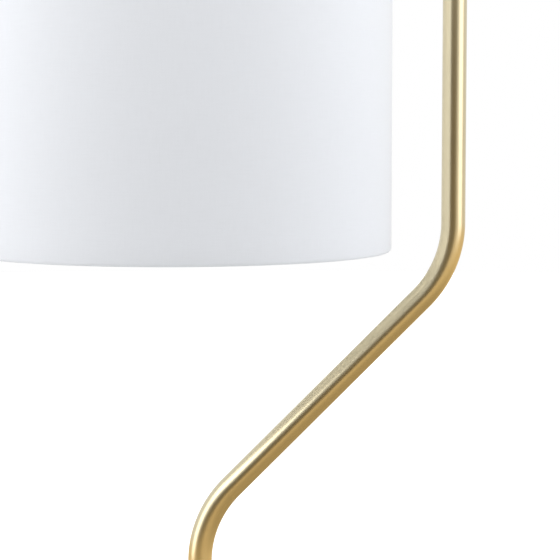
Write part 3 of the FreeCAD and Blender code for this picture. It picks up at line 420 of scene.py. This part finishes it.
def woven_cloth(name, colour, thread):
    """Fine plain weave, each thread a given width, on UVs that are lengths."""
    finish = Finish(name, {"Sheen Weight": 0.25, "Sheen Roughness": 0.5, "Specular IOR Level": 0.15})
    where = finish.node("ShaderNodeTexCoord").outputs["UV"]
    uneven = finish.noise(finish.stretched((260, 260, 260), "UV"), detail=2.0)
    across, along, _ = finish.node("ShaderNodeSeparateXYZ", {"Vector": where}).outputs
    waves = []
    for direction in (across, along):
        drift = finish.math("MULTIPLY", uneven, thread * 0.6)
        phase = finish.math("MULTIPLY", finish.math("ADD", direction, drift), math.pi / thread)
        waves.append(finish.math("SINE", phase))
    crossing = finish.math("MULTIPLY", *waves)
    slubs = finish.noise(finish.stretched((900, 60, 1), "UV"), detail=3.0)
    weft = finish.noise(finish.stretched((60, 900, 1), "UV"), detail=3.0)
    yarn = finish.math("ADD", finish.math("MULTIPLY", slubs, 0.5), finish.math("MULTIPLY", weft, 0.5))
    height = finish.math("ADD", finish.math("MULTIPLY", crossing, 0.35), yarn)
    tones = (0.1, tinted(colour, 0.95)), (0.5, colour), (0.9, tinted(colour, 1.02))
    finish.feed("Base Color", finish.shades(height, *tones))
    finish.feed("Roughness", finish.between(yarn, 0.82, 0.95))
    finish.bump(height, 0.05 * MM, 0.6)
    finish.let_through(0.16, colour)
    return finish.material


def felt():
    """Pressed black fibres, lying all ways."""
    finish = Finish("felt", {"Sheen Weight": 0.5, "Sheen Roughness": 0.6, "Specular IOR Level": 0.1})
    fibres = [
        finish.noise(finish.stretched(scale), detail=5.0, roughness=0.7)
        for scale in ((2600, 350, 900), (350, 2600, 900), (1300, 1300, 900))
    ]
    pile = finish.math("MAXIMUM", finish.math("MAXIMUM", *fibres[:2]), fibres[2])
    dark, light = (0.006, 0.006, 0.007), (0.035, 0.035, 0.038)
    finish.feed("Base Color", finish.shades(pile, (0.45, dark), (0.8, light)))
    finish.feed("Roughness", finish.between(pile, 0.85, 1.0))
    finish.bump(pile, 0.4 * MM)
    return finish.material


def cast_iron():
    """Rough castings with black primer, and paler high grains."""
    finish = Finish("cast_iron", {"Metallic": 0.2, "Specular IOR Level": 0.3})
    sand = finish.noise(finish.stretched((900,) * 3), detail=6.0, roughness=0.65)
    pits = finish.noise(finish.stretched((120,) * 3), detail=3.0)
    relief = finish.math("ADD", finish.math("MULTIPLY", sand, 0.6), finish.math("MULTIPLY", pits, 0.4))
    primer, worn, grains = (0.016, 0.016, 0.018), (0.035, 0.035, 0.038), (0.08, 0.078, 0.075)
    finish.feed("Base Color", finish.shades(relief, (0.35, primer), (0.6, worn), (0.75, grains)))
    finish.feed("Roughness", finish.between(relief, 0.5, 0.9))
    finish.bump(relief, 0.6 * MM)
    return finish.material


METAL = {"Metallic": 1.0}
MOULDED = {"Specular IOR Level": 0.45}
THIN_COAT, COAT, GLAZE = {"Coat Weight": 0.2}, {"Coat Weight": 0.3}, {"Coat Weight": 0.6}
TUBE_BRASS = satin_brass("satin_brass_tube", (900, 6))
SPUN_BRASS = satin_brass("satin_brass_spun", (6, 1100))
CLOTH_WHITE = woven_cloth("shade_cloth", (0.87, 0.885, 0.92), 0.42 * MM)
FELT = felt()
CAST_IRON = cast_iron()
ZINC = speckled("zinc_steel", (0.60, 0.62, 0.64), METAL, 700, 0.01 * MM, 0.10, (0.28, 0.42))
FITTING_BRASS = speckled("brass_fittings", TURNED_BRASS, METAL, 900, 0.008 * MM, 0.06, (0.2, 0.3))
NICKEL = speckled("nickel", (0.66, 0.64, 0.60), METAL, 800, 0.006 * MM, 0.05, (0.16, 0.26))
RUBBER = speckled("black_rubber", (0.012, 0.012, 0.012), MOULDED, 1200, 0.03 * MM, 0.25, (0.6, 0.8))
NYLON = speckled("white_nylon", (0.74, 0.74, 0.71), MOULDED, 1500, 0.01 * MM, 0.03, (0.35, 0.5))
SOCKET_WHITE = speckled("socket_plastic", (0.78, 0.78, 0.75), MOULDED, 1400, 0.015 * MM, 0.03, (0.4, 0.55))
WIRE_WHITE = speckled("white_wire", (0.80, 0.80, 0.79), COAT, 1100, 0.03 * MM, 0.03, (0.3, 0.45))
LINER_WHITE = speckled("shade_liner", (0.90, 0.90, 0.90), MOULDED, 1600, 0.004 * MM, 0.01, (0.45, 0.6), 0.5)
BULB_WHITE = speckled("bulb_plastic", (0.82, 0.82, 0.80), THIN_COAT, 1500, 0.008 * MM, 0.02, (0.25, 0.35))
OPAL = speckled("bulb_globe", (0.90, 0.90, 0.89), MOULDED, 900, 0.004 * MM, 0.015, (0.35, 0.45), 0.35)
BLACK_GLASS = speckled("cap_glass", (0.010, 0.009, 0.012), GLAZE, 500, 0.01 * MM, 0.2, (0.05, 0.12))
LEAD_PVC = speckled("clear_lead", (0.66, 0.60, 0.48), {"Coat Weight": 0.4}, 400, 0.02 * MM, 0.08, (0.25, 0.4))


# ---------------------------------------------------------------- pole


def make_pole():
    """The four tubes. Their broken edges leave a fine groove at each joint."""
    up = math.pi / 2
    joints = [bottom(n) for n in ("lower_tube", "middle_tube", "angled_tube", "arc_tube")]
    for name, low, high in zip(("lower_tube", "middle_tube"), joints, joints[1:]):
        tube(name, follow((0.0, low), up, [high - low]))

    lean = math.pi / 4
    tangent = BEND_R * math.tan(lean / 2)
    slant = UPPER_X / math.sin(lean) - 2 * tangent
    upper_corner = joints[2] + LOWER_LEG + UPPER_X / math.tan(lean)
    upper_leg = joints[3] - upper_corner
    moves = [LOWER_LEG - tangent, (-lean, BEND_R), slant, (lean, BEND_R), upper_leg - tangent]
    tube("angled_tube", follow((0.0, joints[2]), up, moves))

    arc_r = (UPPER_X - SHADE_X) / 2
    spring = top("arc_tube") - TUBE_R - arc_r
    moves = [spring - joints[3], (math.pi, arc_r), spring - bottom("arc_tube_socket_insert")]
    tube("arc_tube", follow((UPPER_X, joints[3]), up, moves))


def tube(name, stations):
    piece = sweep(f"{name}_brushed", stations, TUBE_R, TUBE_BORE_R)
    stand_for(piece, "stand", name, slot="satin_brass", material=TUBE_BRASS)


# ---------------------------------------------------------------- base


def make_cover():
    """Spun cover with a rolled top edge, and the grommet's hole in its back."""
    outer, low, high = radius("base_cover"), bottom("base_cover"), top("base_cover")
    wall, corner, lip = COVER_WALL, 5 * MM, 0.25 * MM
    outline = rounded([
        (outer - wall, low, lip),
        (outer, low, lip),
        (outer, high, corner),
        (STUD_HOLE_R, high, lip),
        (STUD_HOLE_R, high - wall, 0),
        (outer - wall, high - wall, corner - wall),
    ], steps=12)
    cover = lathe("base_cover_spun", divided(outline, 8 * MM), upright(Vector()), columns=256)
    hole_r, past = 5.25 * MM, 8 * MM
    near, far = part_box("cord_grommet")
    height = middle("cord_grommet").z
    ends = [Vector((0, y, height)) for y in (near.y - past, far.y + past)]
    cutter = rod("inlet_cutter", *ends, hole_r)
    stand_for(carve(cover, [cutter]), "stand", "base_cover", slot="satin_brass", material=SPUN_BRASS)


def make_collar():
    """Turned ring at the foot of the pole, with a soft shoulder and a shallow groove."""
    outer, low, high = radius("base_collar"), bottom("base_collar"), top("base_collar")
    bore = TUBE_R + 0.1 * MM
    groove_z, groove = low + 2.2 * MM, 0.35 * MM
    outline = rounded([
        (bore, low, 0),
        (outer, low, 0.2 * MM),
        (outer, groove_z - groove, 0.1 * MM),
        (outer - groove, groove_z, 0.1 * MM),
        (outer, groove_z + groove, 0.1 * MM),
        (outer, high - 1.5 * MM, 0.8 * MM),
        (outer - 1.5 * MM, high, 0.8 * MM),
        (bore, high, 0.3 * MM),
    ])
    collar = lathe("base_collar_turned", outline, upright(Vector()), columns=128)
    stand_for(collar, "stand", "base_collar", slot="satin_brass", material=SPUN_BRASS)


def make_pad():
    """Felt disc under the weight, with a soft edge that isn't cut quite round."""
    outer, low, high = radius("base_pad"), bottom("base_pad"), top("base_pad")
    soft = 0.7 * MM
    outline = rounded([(0, low, 0), (outer, low, soft), (outer, high, soft), (0, high, 0)])
    outline = divided(outline, 9 * MM)

    def uneven(angle, r, z):
        wobble = math.sin(5 * angle + 1.0) + 0.6 * math.sin(13 * angle) + 0.4 * math.sin(29 * angle + 2.0)
        return r - (r / outer) ** 8 * 0.12 * MM * (2.0 + wobble)

    pad = lathe("felt_pad", outline, upright(Vector()), columns=192, shape=uneven)
    stand_for(pad, "stand", "base_pad", slot="felt", material=FELT)


def make_grommet():
    """Rubber bush with a rounded outer flange and a smaller one inside the cover."""
    low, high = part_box("cord_grommet")
    bore, neck = 3.6 * MM, 5.2 * MM
    flange_r = (high.x - low.x) / 2
    inner_flange_r = 6.0 * MM
    cover_r = radius("base_cover")
    back, face = low.y - cover_r, high.y - cover_r
    inside = -(COVER_WALL + 0.2 * MM)
    outline = rounded([
        (bore, back, 0.4 * MM),
        (inner_flange_r, back, 0.4 * MM),
        (inner_flange_r, inside, 0.2 * MM),
        (neck, inside, 0),
        (neck, 0, 0),
        (flange_r, 0, 0.2 * MM),
        (flange_r, face, 0.7 * MM),
        (bore, face, 0.6 * MM),
    ])
    origin = Vector((0, cover_r, (low.z + high.z) / 2))
    grommet = lathe("inlet_grommet", outline, level(origin, 1), columns=96)
    stand_for(grommet, "stand", "cord_grommet", slot="black_rubber", material=RUBBER)


# ---------------------------------------------------------------- socket and switch


def thread(pitch, depth, low, high, fade=1.5 * MM):
    """A round knuckle thread for lathe(), cut into the radius between two heights."""

    def cut(angle, r, z):
        near_end = min(z - low, high - z) / fade
        share = max(0.0, min(1.0, near_end))
        turn = (z / pitch - angle / math.tau) * math.tau
        return r - share * depth * (0.5 - 0.5 * math.cos(turn))

    return cut


def make_cup():
    """Brass cup over the socket, with the switch's hole in front."""
    low, high = bottom("socket_cup"), top("socket_cup")
    outer = radius("socket_cup", SHADE_X)
    wall, corner, lip = COVER_WALL, 4 * MM, 0.25 * MM
    outline = rounded([
        (outer - wall, low, lip),
        (outer, low, lip),
        (outer, high, corner),
        (STUD_HOLE_R, high, 0),
        (STUD_HOLE_R, high - wall, 0),
        (outer - wall, high - wall, corner - wall),
    ], steps=12)
    cup = lathe("socket_cup_spun", divided(outline, 4 * MM), upright(SHADE_AXIS), columns=160)
    hole_r = 3.95 * MM
    start = Vector((SHADE_X, 0, middle("switch_bushing").z))
    cutter = rod("switch_cutter", start, start - Vector((0, 2 * outer, 0)), hole_r)
    stand_for(carve(cup, [cutter]), "stand", "socket_cup", slot="satin_brass", material=SPUN_BRASS)


def make_housing():
    """Insulating socket body: a shoulder for the shade, and a skirt threaded for the clamping ring."""
    low, high = bottom("socket_housing"), top("socket_housing")
    shoulder_r = radius("socket_housing", SHADE_X)
    shoulder_top = bottom("socket_cup")
    shoulder_low = shoulder_top - 4 * MM
    skirt_r, bore = 19.5 * MM, 14.6 * MM
    body_r = radius("socket_cup", SHADE_X) - 1.5 * MM
    roof = high - 4 * MM
    outline = rounded([
        (0, roof, 0),
        (bore, roof, 0),
        (bore, low, 0.5 * MM),
        (skirt_r, low, 0.6 * MM),
        (skirt_r, shoulder_low, 0),
        (shoulder_r, shoulder_low, 0.4 * MM),
        (shoulder_r, shoulder_top, 0.4 * MM),
        (body_r, shoulder_top, 0),
        (body_r, high, 0.6 * MM),
        (0, high, 0),
    ])
    cut = thread(2.5 * MM, 0.6 * MM, low + 0.5 * MM, shoulder_low)

    def threaded(angle, r, z):
        return cut(angle, r, z) if r > skirt_r - 0.1 * MM and z < shoulder_low else r

    housing = lathe("socket_housing_threaded", divided(outline, 0.25 * MM), upright(SHADE_AXIS),
                    columns=96, shape=threaded)
    stand_for(housing, "stand", "socket_housing", slot="socket_plastic", material=SOCKET_WHITE)


def make_screw_shell():
    """Rolled brass shell that takes the bulb's thread."""
    low, high = bottom("screw_shell"), top("screw_shell")
    outer, wall = radius("screw_shell", SHADE_X), 0.5 * MM
    outline = divided(sleeve_outline(outer - wall, outer, low, high), 0.3 * MM)
    cut = thread(BULB_PITCH, 0.3 * MM, low, high)
    shell = lathe("screw_shell_rolled", outline, upright(SHADE_AXIS), columns=96, shape=cut)
    stand_for(shell, "stand", "screw_shell", slot="brass_fittings", material=FITTING_BRASS)


def make_knob():
    """Switch knob with rounded ribs and a slightly hollowed end."""
    low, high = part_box("switch_knob")
    knob_r = (high.x - low.x) / 2
    length = high.y - low.y
    axis = middle("switch_knob")
    origin = Vector((axis.x, high.y, axis.z))
    hub_r, ribs, depth = 2.02 * MM, 20, 0.45 * MM
    collar, grip = 1.0 * MM, 9 * MM
    outline = rounded([
        (hub_r, 0, 0),
        (knob_r, 0, 0.3 * MM),
        (knob_r, length, 1.2 * MM),
        (knob_r * 0.55, length, 0.6 * MM),
        (knob_r * 0.5, length - 0.4 * MM, 0.4 * MM),
        (0, length - 0.4 * MM, 0),
        (0, grip, 0),
        (hub_r, grip, 0),
    ])

    def ribbed(angle, r, z):
        rim = max(0.0, min(1.0, (r - 0.8 * knob_r) / (0.15 * knob_r)))
        past_collar = max(0.0, min(1.0, (z - collar) / (0.3 * MM)))
        wave = abs(math.cos(ribs * angle / 2)) ** 3
        return r - rim * past_collar * depth * wave

    knob = lathe("switch_knob_ribbed", divided(outline, 0.4 * MM), level(origin, -1), columns=320,
                 shape=ribbed, sharp=50)
    stand_for(knob, "switch", "switch_knob", slot="brass_fittings", material=FITTING_BRASS)


# ---------------------------------------------------------------- shade


def make_ring():
    """Clamping ring with rounded finger ribs."""
    low, high = bottom("shade_ring"), top("shade_ring")
    outer, bore = radius("shade_ring", SHADE_X), 19.55 * MM
    ribs, depth, soft = 28, 0.9 * MM, 0.6 * MM
    outline = rounded([(bore, low, soft), (outer, low, soft), (outer, high, soft), (bore, high, 0.2 * MM)])

    def ribbed(angle, r, z):
        rim = max(0.0, min(1.0, (r - bore) / (outer - bore)))
        return r - rim**2 * depth * abs(math.sin(ribs * angle / 2)) ** 4

    ring = lathe("shade_ring_ribbed", divided(outline, 0.8 * MM), upright(SHADE_AXIS), columns=448,
                 shape=ribbed, sharp=50)
    stand_for(ring, "fitter_ring", "shade_ring", slot="socket_plastic", material=SOCKET_WHITE)


def make_spider():
    """White wire frame of the shade's top: washer, three cranked arms with welds, and a hoop."""
    thick, crank, reach, arm_r = 2 * MM, 18 * MM, 6 * MM, 8 * MM
    arm_z = bottom("shade_spider") + WIRE_R
    washer_low = arm_z - thick / 2
    bore, outer = 19.8 * MM, 29.8 * MM
    soft = 0.4 * MM
    outline = rounded([
        (bore, washer_low, soft),
        (outer, washer_low, soft),
        (outer, washer_low + thick, soft),
        (bore, washer_low + thick, soft),
    ])
    washer = lathe("spider_washer", divided(outline, 3 * MM), upright(SHADE_AXIS), columns=160)
    hoop = lathe("spider_hoop", ring_outline(HOOP_R, TOP_HOOP_Z, WIRE_R), upright(SHADE_AXIS), columns=256)
    rise = TOP_HOOP_Z - arm_z
    slope = math.atan2(rise, crank)
    tangent = arm_r * math.tan(slope / 2)
    knee = outer + reach
    start = outer - 3 * MM
    moves = [
        knee - start - tangent,
        (slope, arm_r),
        math.hypot(rise, crank) - 2 * tangent,
        (-slope, arm_r),
        HOOP_R - knee - crank - tangent,
    ]
    stations = follow((start, arm_z), 0.0, moves)
    parts = [washer, hoop]
    for k, heading in enumerate(ARM_HEADINGS, 1):
        parts.append(sweep(
            f"spider_arm_{k}", stations, WIRE_R, origin=SHADE_AXIS, turned=heading, columns=24))
        for spot, distance, height in (("washer", outer, arm_z), ("hoop", HOOP_R - WIRE_R, TOP_HOOP_Z)):
            parts.append(weld(f"spider_weld_{spot}_{k}", heading, distance, height))
    for part in parts:
        stand_for(part, "shade", "shade_spider", slot="white_wire", material=WIRE_WHITE)


def weld(name, heading, distance, height):
    """A small bead round a wire where it meets another part."""
    bead, steps = 1.15 * WIRE_R, 10
    angles = [math.pi * k / steps for k in range(steps + 1)]
    outline = [Vector((bead * math.sin(a), 0.9 * bead * math.cos(a))) for a in angles]
    out = Vector((math.cos(heading), math.sin(heading), 0))
    centre = SHADE_AXIS + out * distance + Vector((0, 0, height))

    def place(angle, r, z):
        side = Vector((-out.y, out.x, 0))
        lump = 1 + 0.06 * math.sin(3 * angle + heading)
        return centre + out * z + r * lump * (math.cos(angle) * side + math.sin(angle) * Vector((0, 0, 1)))

    return lathe(name, outline, place, columns=24)


def make_hoop():
    """White wire hoop in the shade's lower hem."""
    outline = ring_outline(HOOP_R, BOTTOM_HOOP_Z, WIRE_R)
    hoop = lathe("bottom_hoop_wire", outline, upright(SHADE_AXIS), columns=256)
    stand_for(hoop, "shade", "shade_bottom_hoop", slot="white_wire", material=WIRE_WHITE)


def make_liner():
    """Stiff translucent liner, a plain sleeve."""
    outer = radius("shade_liner", SHADE_X)
    low, high = bottom("shade_liner"), top("shade_liner")
    outline = divided(sleeve_outline(outer - LINER_WALL, outer, low, high), 20 * MM)
    liner = lathe("shade_liner_sleeve", outline, upright(SHADE_AXIS), columns=256)
    stand_for(liner, "shade", "shade_liner", slot="shade_liner", material=LINER_WHITE)


def hem_strip():
    """The cloth's section as (point, outward direction) pairs, from one turned-in edge to the other."""
    gap = 0.05 * MM
    lip_r = radius("shade_liner", SHADE_X) - LINER_WALL - gap - CLOTH / 2
    roll = HEM_R - CLOTH / 2
    slope = 5 * MM
    points = [Vector((lip_r, TOP_HOOP_Z - TURN_IN)), Vector((lip_r, TOP_HOOP_Z - slope))]
    steps = 16
    for k in range(steps + 1):
        angle = math.pi - math.pi * k / steps
        points.append(Vector((HOOP_R + roll * math.cos(angle), TOP_HOOP_Z + roll * math.sin(angle))))
    rows = 48
    for k in range(1, rows):
        points.append(Vector((HOOP_R + roll, TOP_HOOP_Z + (BOTTOM_HOOP_Z - TOP_HOOP_Z) * k / rows)))
    for k in range(steps + 1):
        angle = -math.pi * k / steps
        points.append(Vector((HOOP_R + roll * math.cos(angle), BOTTOM_HOOP_Z + roll * math.sin(angle))))
    points += [Vector((lip_r, BOTTOM_HOOP_Z + slope)), Vector((lip_r, BOTTOM_HOOP_Z + TURN_IN))]
    strip = []
    for i, point in enumerate(points):
        along = points[min(i + 1, len(points) - 1)] - points[max(i - 1, 0)]
        strip.append((point, Vector((-along.y, along.x)).normalized()))
    return strip


def make_fabric():
    """One strip of cloth round the shade: its end laps over its start at the back, and its edges
    roll round the hoops and turn in."""
    lap, ramp = 12 * MM, 3 * MM
    notch_gap = 0.3 * MM
    strip = hem_strip()
    lap_angle = lap / SHADE_R
    columns = 520
    place = upright(SHADE_AXIS)
    start = BACK - lap_angle / 2
    turn = math.tau + lap_angle
    over = CLOTH + 0.1 * MM
    rows = []
    for side in (0.5, -0.5):
        section = strip if side > 0 else strip[::-1]
        for point, outward in section:
            row = []
            for j in range(columns + 1):
                angle = start + turn * j / columns
                rise = min(1.0, max(0.0, (j / columns * turn - math.tau) * SHADE_R / ramp + 1.0))
                lift = over * rise * rise * (3 - 2 * rise)
                r, z = point + outward * (side * CLOTH + lift)
                row.append(place(angle, r, z))
            rows.append(row)
    cloth = skin("shade_cloth_wrap", rows, ring=False, ends=True, sharp=60)
    notches = []
    for k, heading in enumerate(ARM_HEADINGS):
        ends = [place(heading, distance, TOP_HOOP_Z) for distance in (HOOP_R - 2 * HEM_R, HOOP_R)]
        notches.append(rod(f"notch_{k}", *ends, WIRE_R + notch_gap, columns=24))
    carve(cloth, notches, sharp=60)
    stand_for(cloth, "shade", "shade_fabric", slot="shade_cloth", material=CLOTH_WHITE)


# ---------------------------------------------------------------- bulb


def make_bulb():
    """Screw-in bulb: rolled cap, black glass and solder tip, moulded body and opal globe."""
    axis = upright(SHADE_AXIS)
    cap_low, cap_top = bottom("bulb_cap"), top("bulb_cap")
    cap_r = radius("bulb_cap", SHADE_X)
    wall = 0.4 * MM
    outline = divided(sleeve_outline(cap_r - wall, cap_r, cap_low, cap_top), 0.3 * MM)
    cut = thread(BULB_PITCH, 0.7 * MM, cap_low + 2 * MM, cap_top)
    cap = lathe("bulb_cap_rolled", outline, axis, columns=96, shape=cut)
    stand_for(cap, "bulb", "bulb_cap", slot="nickel", material=NICKEL)

    tip_r, tip_height = 4.6 * MM, 1.4 * MM
    tip_top = top("bulb_contact")
    tip_low = tip_top - tip_height
    outline = rounded([(0, cap_top, 0), (cap_r - wall, cap_top, 0), (tip_r, tip_low, 0), (0, tip_low, 0)])
    glass = lathe("bulb_cap_glass", divided(outline, 1.0 * MM), axis, columns=96)
    stand_for(glass, "bulb", "bulb_contact", slot="brass_fittings", material=BLACK_GLASS)
    outline = rounded([(0, tip_low, 0), (tip_r, tip_low, 0), (tip_r, tip_top, 0.9 * MM), (0, tip_top, 0)])
    tip = lathe("bulb_tip", outline, axis, columns=64)
    stand_for(tip, "bulb", "bulb_contact", slot="brass_fittings", material=FITTING_BRASS)

    globe_r = radius("bulb_globe", SHADE_X)
    rim_z = top("bulb_globe")
    low = bottom("bulb_globe")
    rim_r = radius("bulb_body", SHADE_X)
    neck_z, neck_r = rim_z + 28 * MM, cap_r + 0.2 * MM
    step, plug = 1.5 * MM, 2.6 * MM
    outline = rounded([
        (0, cap_low + 3 * MM, 0),
        (0, rim_z - plug, 0),
        (rim_r - step, rim_z - plug, 0),
        (rim_r - step, rim_z, 0),
        (rim_r, rim_z, 0.3 * MM),
        (rim_r, rim_z + 2 * MM, 1.0 * MM),
        (neck_r, neck_z, 12 * MM),
        (neck_r, cap_low + 0.6 * MM, 0.5 * MM),
        (cap_r - 1 * MM, cap_low, 0),
    ], steps=12)
    body = lathe("bulb_body_moulded", divided(outline, 2 * MM), axis, columns=128)
    stand_for(body, "bulb", "bulb_body", slot="bulb_plastic", material=BULB_WHITE)

    shell, steps = 1.2 * MM, 40
    centre_z = low + globe_r
    outline = []
    for r_size, backwards in ((globe_r, False), (globe_r - shell, True)):
        lip = math.asin((rim_z - centre_z) / r_size)
        angles = [-math.pi / 2 + (lip + math.pi / 2) * k / steps for k in range(steps + 1)]
        arc = [Vector((r_size * math.cos(a), centre_z + r_size * math.sin(a))) for a in angles]
        arc[0].x = 0.0
        outline += arc[::-1] if backwards else arc
    globe = lathe("bulb_globe_opal", outline, axis, columns=128)
    stand_for(globe, "bulb", "bulb_globe", slot="bulb_globe", material=OPAL)


# ---------------------------------------------------------------- carried-over CAD nodes

CAD_FINISHES = {
    "cast_iron": CAST_IRON,
    "zinc_steel": ZINC,
    "brass_fittings": FITTING_BRASS,
    "white_nylon": NYLON,
    "clear_lead": LEAD_PVC,
    "socket_plastic": SOCKET_WHITE,
    "satin_brass": SPUN_BRASS,
}


def finish_cad_nodes():
    """Gives the CAD nodes that stay their materials, by the slot that each came with."""
    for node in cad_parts.values():
        if node.hide_render:
            continue
        for place in node.material_slots:
            place.material = CAD_FINISHES[place.material.name]


# ---------------------------------------------------------------- studio


FRONT_FILL, BACK_FILL = 0.56, 0.78
FLOOR = (0.74, 0.74, 0.73)
WARM_FLOOR = (0.45, 0.33, 0.16)
FLOOR_R = 14.0
FADE_START, FADE_END = 0.9, 3.6  # of the floor's white glow, from the lamp
SCREEN_Y = -2.3
SCREEN_CORNERS = (-2.2, 0.5), (0.0, 0.5), (1.0, 0.9), (1.0, 1.75), (-2.2, 1.75)
# name, centre, target, width, height, brightness: the sides light the shade's flanks and edge the
# brass, the keys light the bends, and the top one lights the inside of the shade.
SOFT_BOXES = (
    ("right_box", (0.86, -0.36, 1.55), (0.15, 0, 1.3), 0.62, 1.0, 1.15),
    ("left_box", (-0.95, -0.28, 1.42), (0.0, 0, 1.25), 0.66, 1.4, 1.3),
    ("left_key", (-0.74, -0.68, 1.74), (0.08, 0, 1.05), 0.6, 0.7, 1.6),
    ("right_key", (0.86, -0.72, 2.05), (0.0, 0, 1.3), 0.7, 0.6, 2.0),
    ("top_box", (SHADE_X, 0, 2.4), (SHADE_X, 0, 1.3), 0.6, 0.6, 16.0),
)


def soft_box(name, centre, target, width, height, brightness):
    """A rectangular light facing a target. Its power goes up with its brightness and its area."""
    light = bpy.data.lights.new(name, "AREA")
    light.shape, light.size, light.size_y = "RECTANGLE", width, height
    light.energy = brightness * math.pi * width * height
    lamp = bpy.data.objects.new(name, light)
    lamp.location = centre
    lamp.rotation_euler = (Vector(target) - Vector(centre)).to_track_quat("-Z", "Y").to_euler()
    lamp.visible_camera = False
    bpy.context.scene.collection.objects.link(lamp)


def make_world():
    """White to the eye. To everything else it is a cool fill, dimmer in front than at the back."""
    world = bpy.data.worlds.new("studio")
    world.use_nodes = True
    tree = world.node_tree
    fill = tree.nodes["Background"]
    fill.inputs["Color"].default_value = (0.96, 0.98, 1.0, 1)
    where = tree.nodes.new("ShaderNodeTexCoord")
    split = tree.nodes.new("ShaderNodeSeparateXYZ")
    depth = tree.nodes.new("ShaderNodeMapRange")
    ends = {"From Min": -0.3, "From Max": 0.6, "To Min": FRONT_FILL, "To Max": BACK_FILL}
    for socket, value in ends.items():
        depth.inputs[socket].default_value = value
    tree.links.new(where.outputs["Generated"], split.inputs[0])
    tree.links.new(split.outputs["Y"], depth.inputs["Value"])
    tree.links.new(depth.outputs[0], fill.inputs["Strength"])
    white = tree.nodes.new("ShaderNodeBackground")
    white.inputs["Color"].default_value = (1, 1, 1, 1)
    path = tree.nodes.new("ShaderNodeLightPath")
    mix = tree.nodes.new("ShaderNodeMixShader")
    tree.links.new(path.outputs["Is Camera Ray"], mix.inputs[0])
    tree.links.new(fill.outputs[0], mix.inputs[1])
    tree.links.new(white.outputs[0], mix.inputs[2])
    tree.links.new(mix.outputs[0], tree.nodes["World Output"].inputs[0])
    bpy.context.scene.world = world


def pale_floor():
    """Pale floor that fades to the white of the background away from the lamp. Reflections see it
    in a warmer tone. Its glow isn't sampled as a lamp's would be."""
    finish = Finish("pale_floor", {"Specular IOR Level": 0.2})
    grain = finish.noise(finish.stretched((40, 40, 40)), detail=4.0)
    pale = finish.shades(grain, (0.3, tinted(FLOOR, 0.98)), (0.7, tinted(FLOOR, 1.02)))
    mirrored = finish.node("ShaderNodeLightPath").outputs["Is Glossy Ray"]
    for socket, tone in (("Base Color", pale), ("Emission Color", (1, 1, 1, 1))):
        tones = {0: mirrored, 6: tone, 7: (*WARM_FLOOR, 1)}
        finish.feed(socket, finish.node("ShaderNodeMix", tones, data_type="RGBA").outputs[2])
    finish.feed("Roughness", finish.between(grain, 0.6, 0.75))
    where = finish.node("ShaderNodeTexCoord").outputs["Object"]
    away = finish.node("ShaderNodeVectorMath", {0: where}, operation="LENGTH").outputs["Value"]
    inputs = {"Value": away, "From Min": FADE_START, "From Max": FADE_END}
    fade = finish.node("ShaderNodeMapRange", inputs, interpolation_type="SMOOTHSTEP").outputs[0]
    finish.feed("Emission Strength", fade)
    finish.material.cycles.emission_sampling = "NONE"
    return finish.material


def make_stage():
    """Pale floor, and a dark screen behind the camera for the brass to reflect."""
    bm = bmesh.new()
    bmesh.ops.create_circle(bm, cap_ends=True, segments=128, radius=FLOOR_R)
    floor = finish_mesh("floor", bm)
    floor.data.materials.append(pale_floor())
    bm = bmesh.new()
    bm.faces.new([bm.verts.new((x, SCREEN_Y, z)) for x, z in SCREEN_CORNERS])
    screen = finish_mesh("dark_screen", bm)
    screen.data.materials.append(speckled(
        "dark_cloth", (0.12, 0.09, 0.045), {"Specular IOR Level": 0.1}, 40, 0.1 * MM, 0.1, (0.8, 0.95)))
    screen.visible_camera = False


def make_camera():
    """A long lens at the height of the shade, looking a little down and a little to +X."""
    lens = bpy.data.cameras.new("camera")
    lens.sensor_width = 36.0
    lens.lens = 128.6
    camera = bpy.data.objects.new("camera", lens)
    camera.location = (0.0359, -1.6624, 1.3013)
    down, aside = math.radians(4.985), math.radians(1.09)
    camera.rotation_euler = (math.pi / 2 - down, 0, -aside)
    bpy.context.scene.collection.objects.link(camera)
    bpy.context.scene.camera = camera


bpy.context.scene.view_settings.view_transform = "Standard"
make_pole()
make_cover()
make_collar()
make_pad()
make_grommet()
make_cup()
make_housing()
make_screw_shell()
make_knob()
make_ring()
make_spider()
make_hoop()
make_liner()
make_fabric()
make_bulb()
finish_cad_nodes()
make_world()
make_stage()
for values in SOFT_BOXES:
    soft_box(*values)
make_camera()
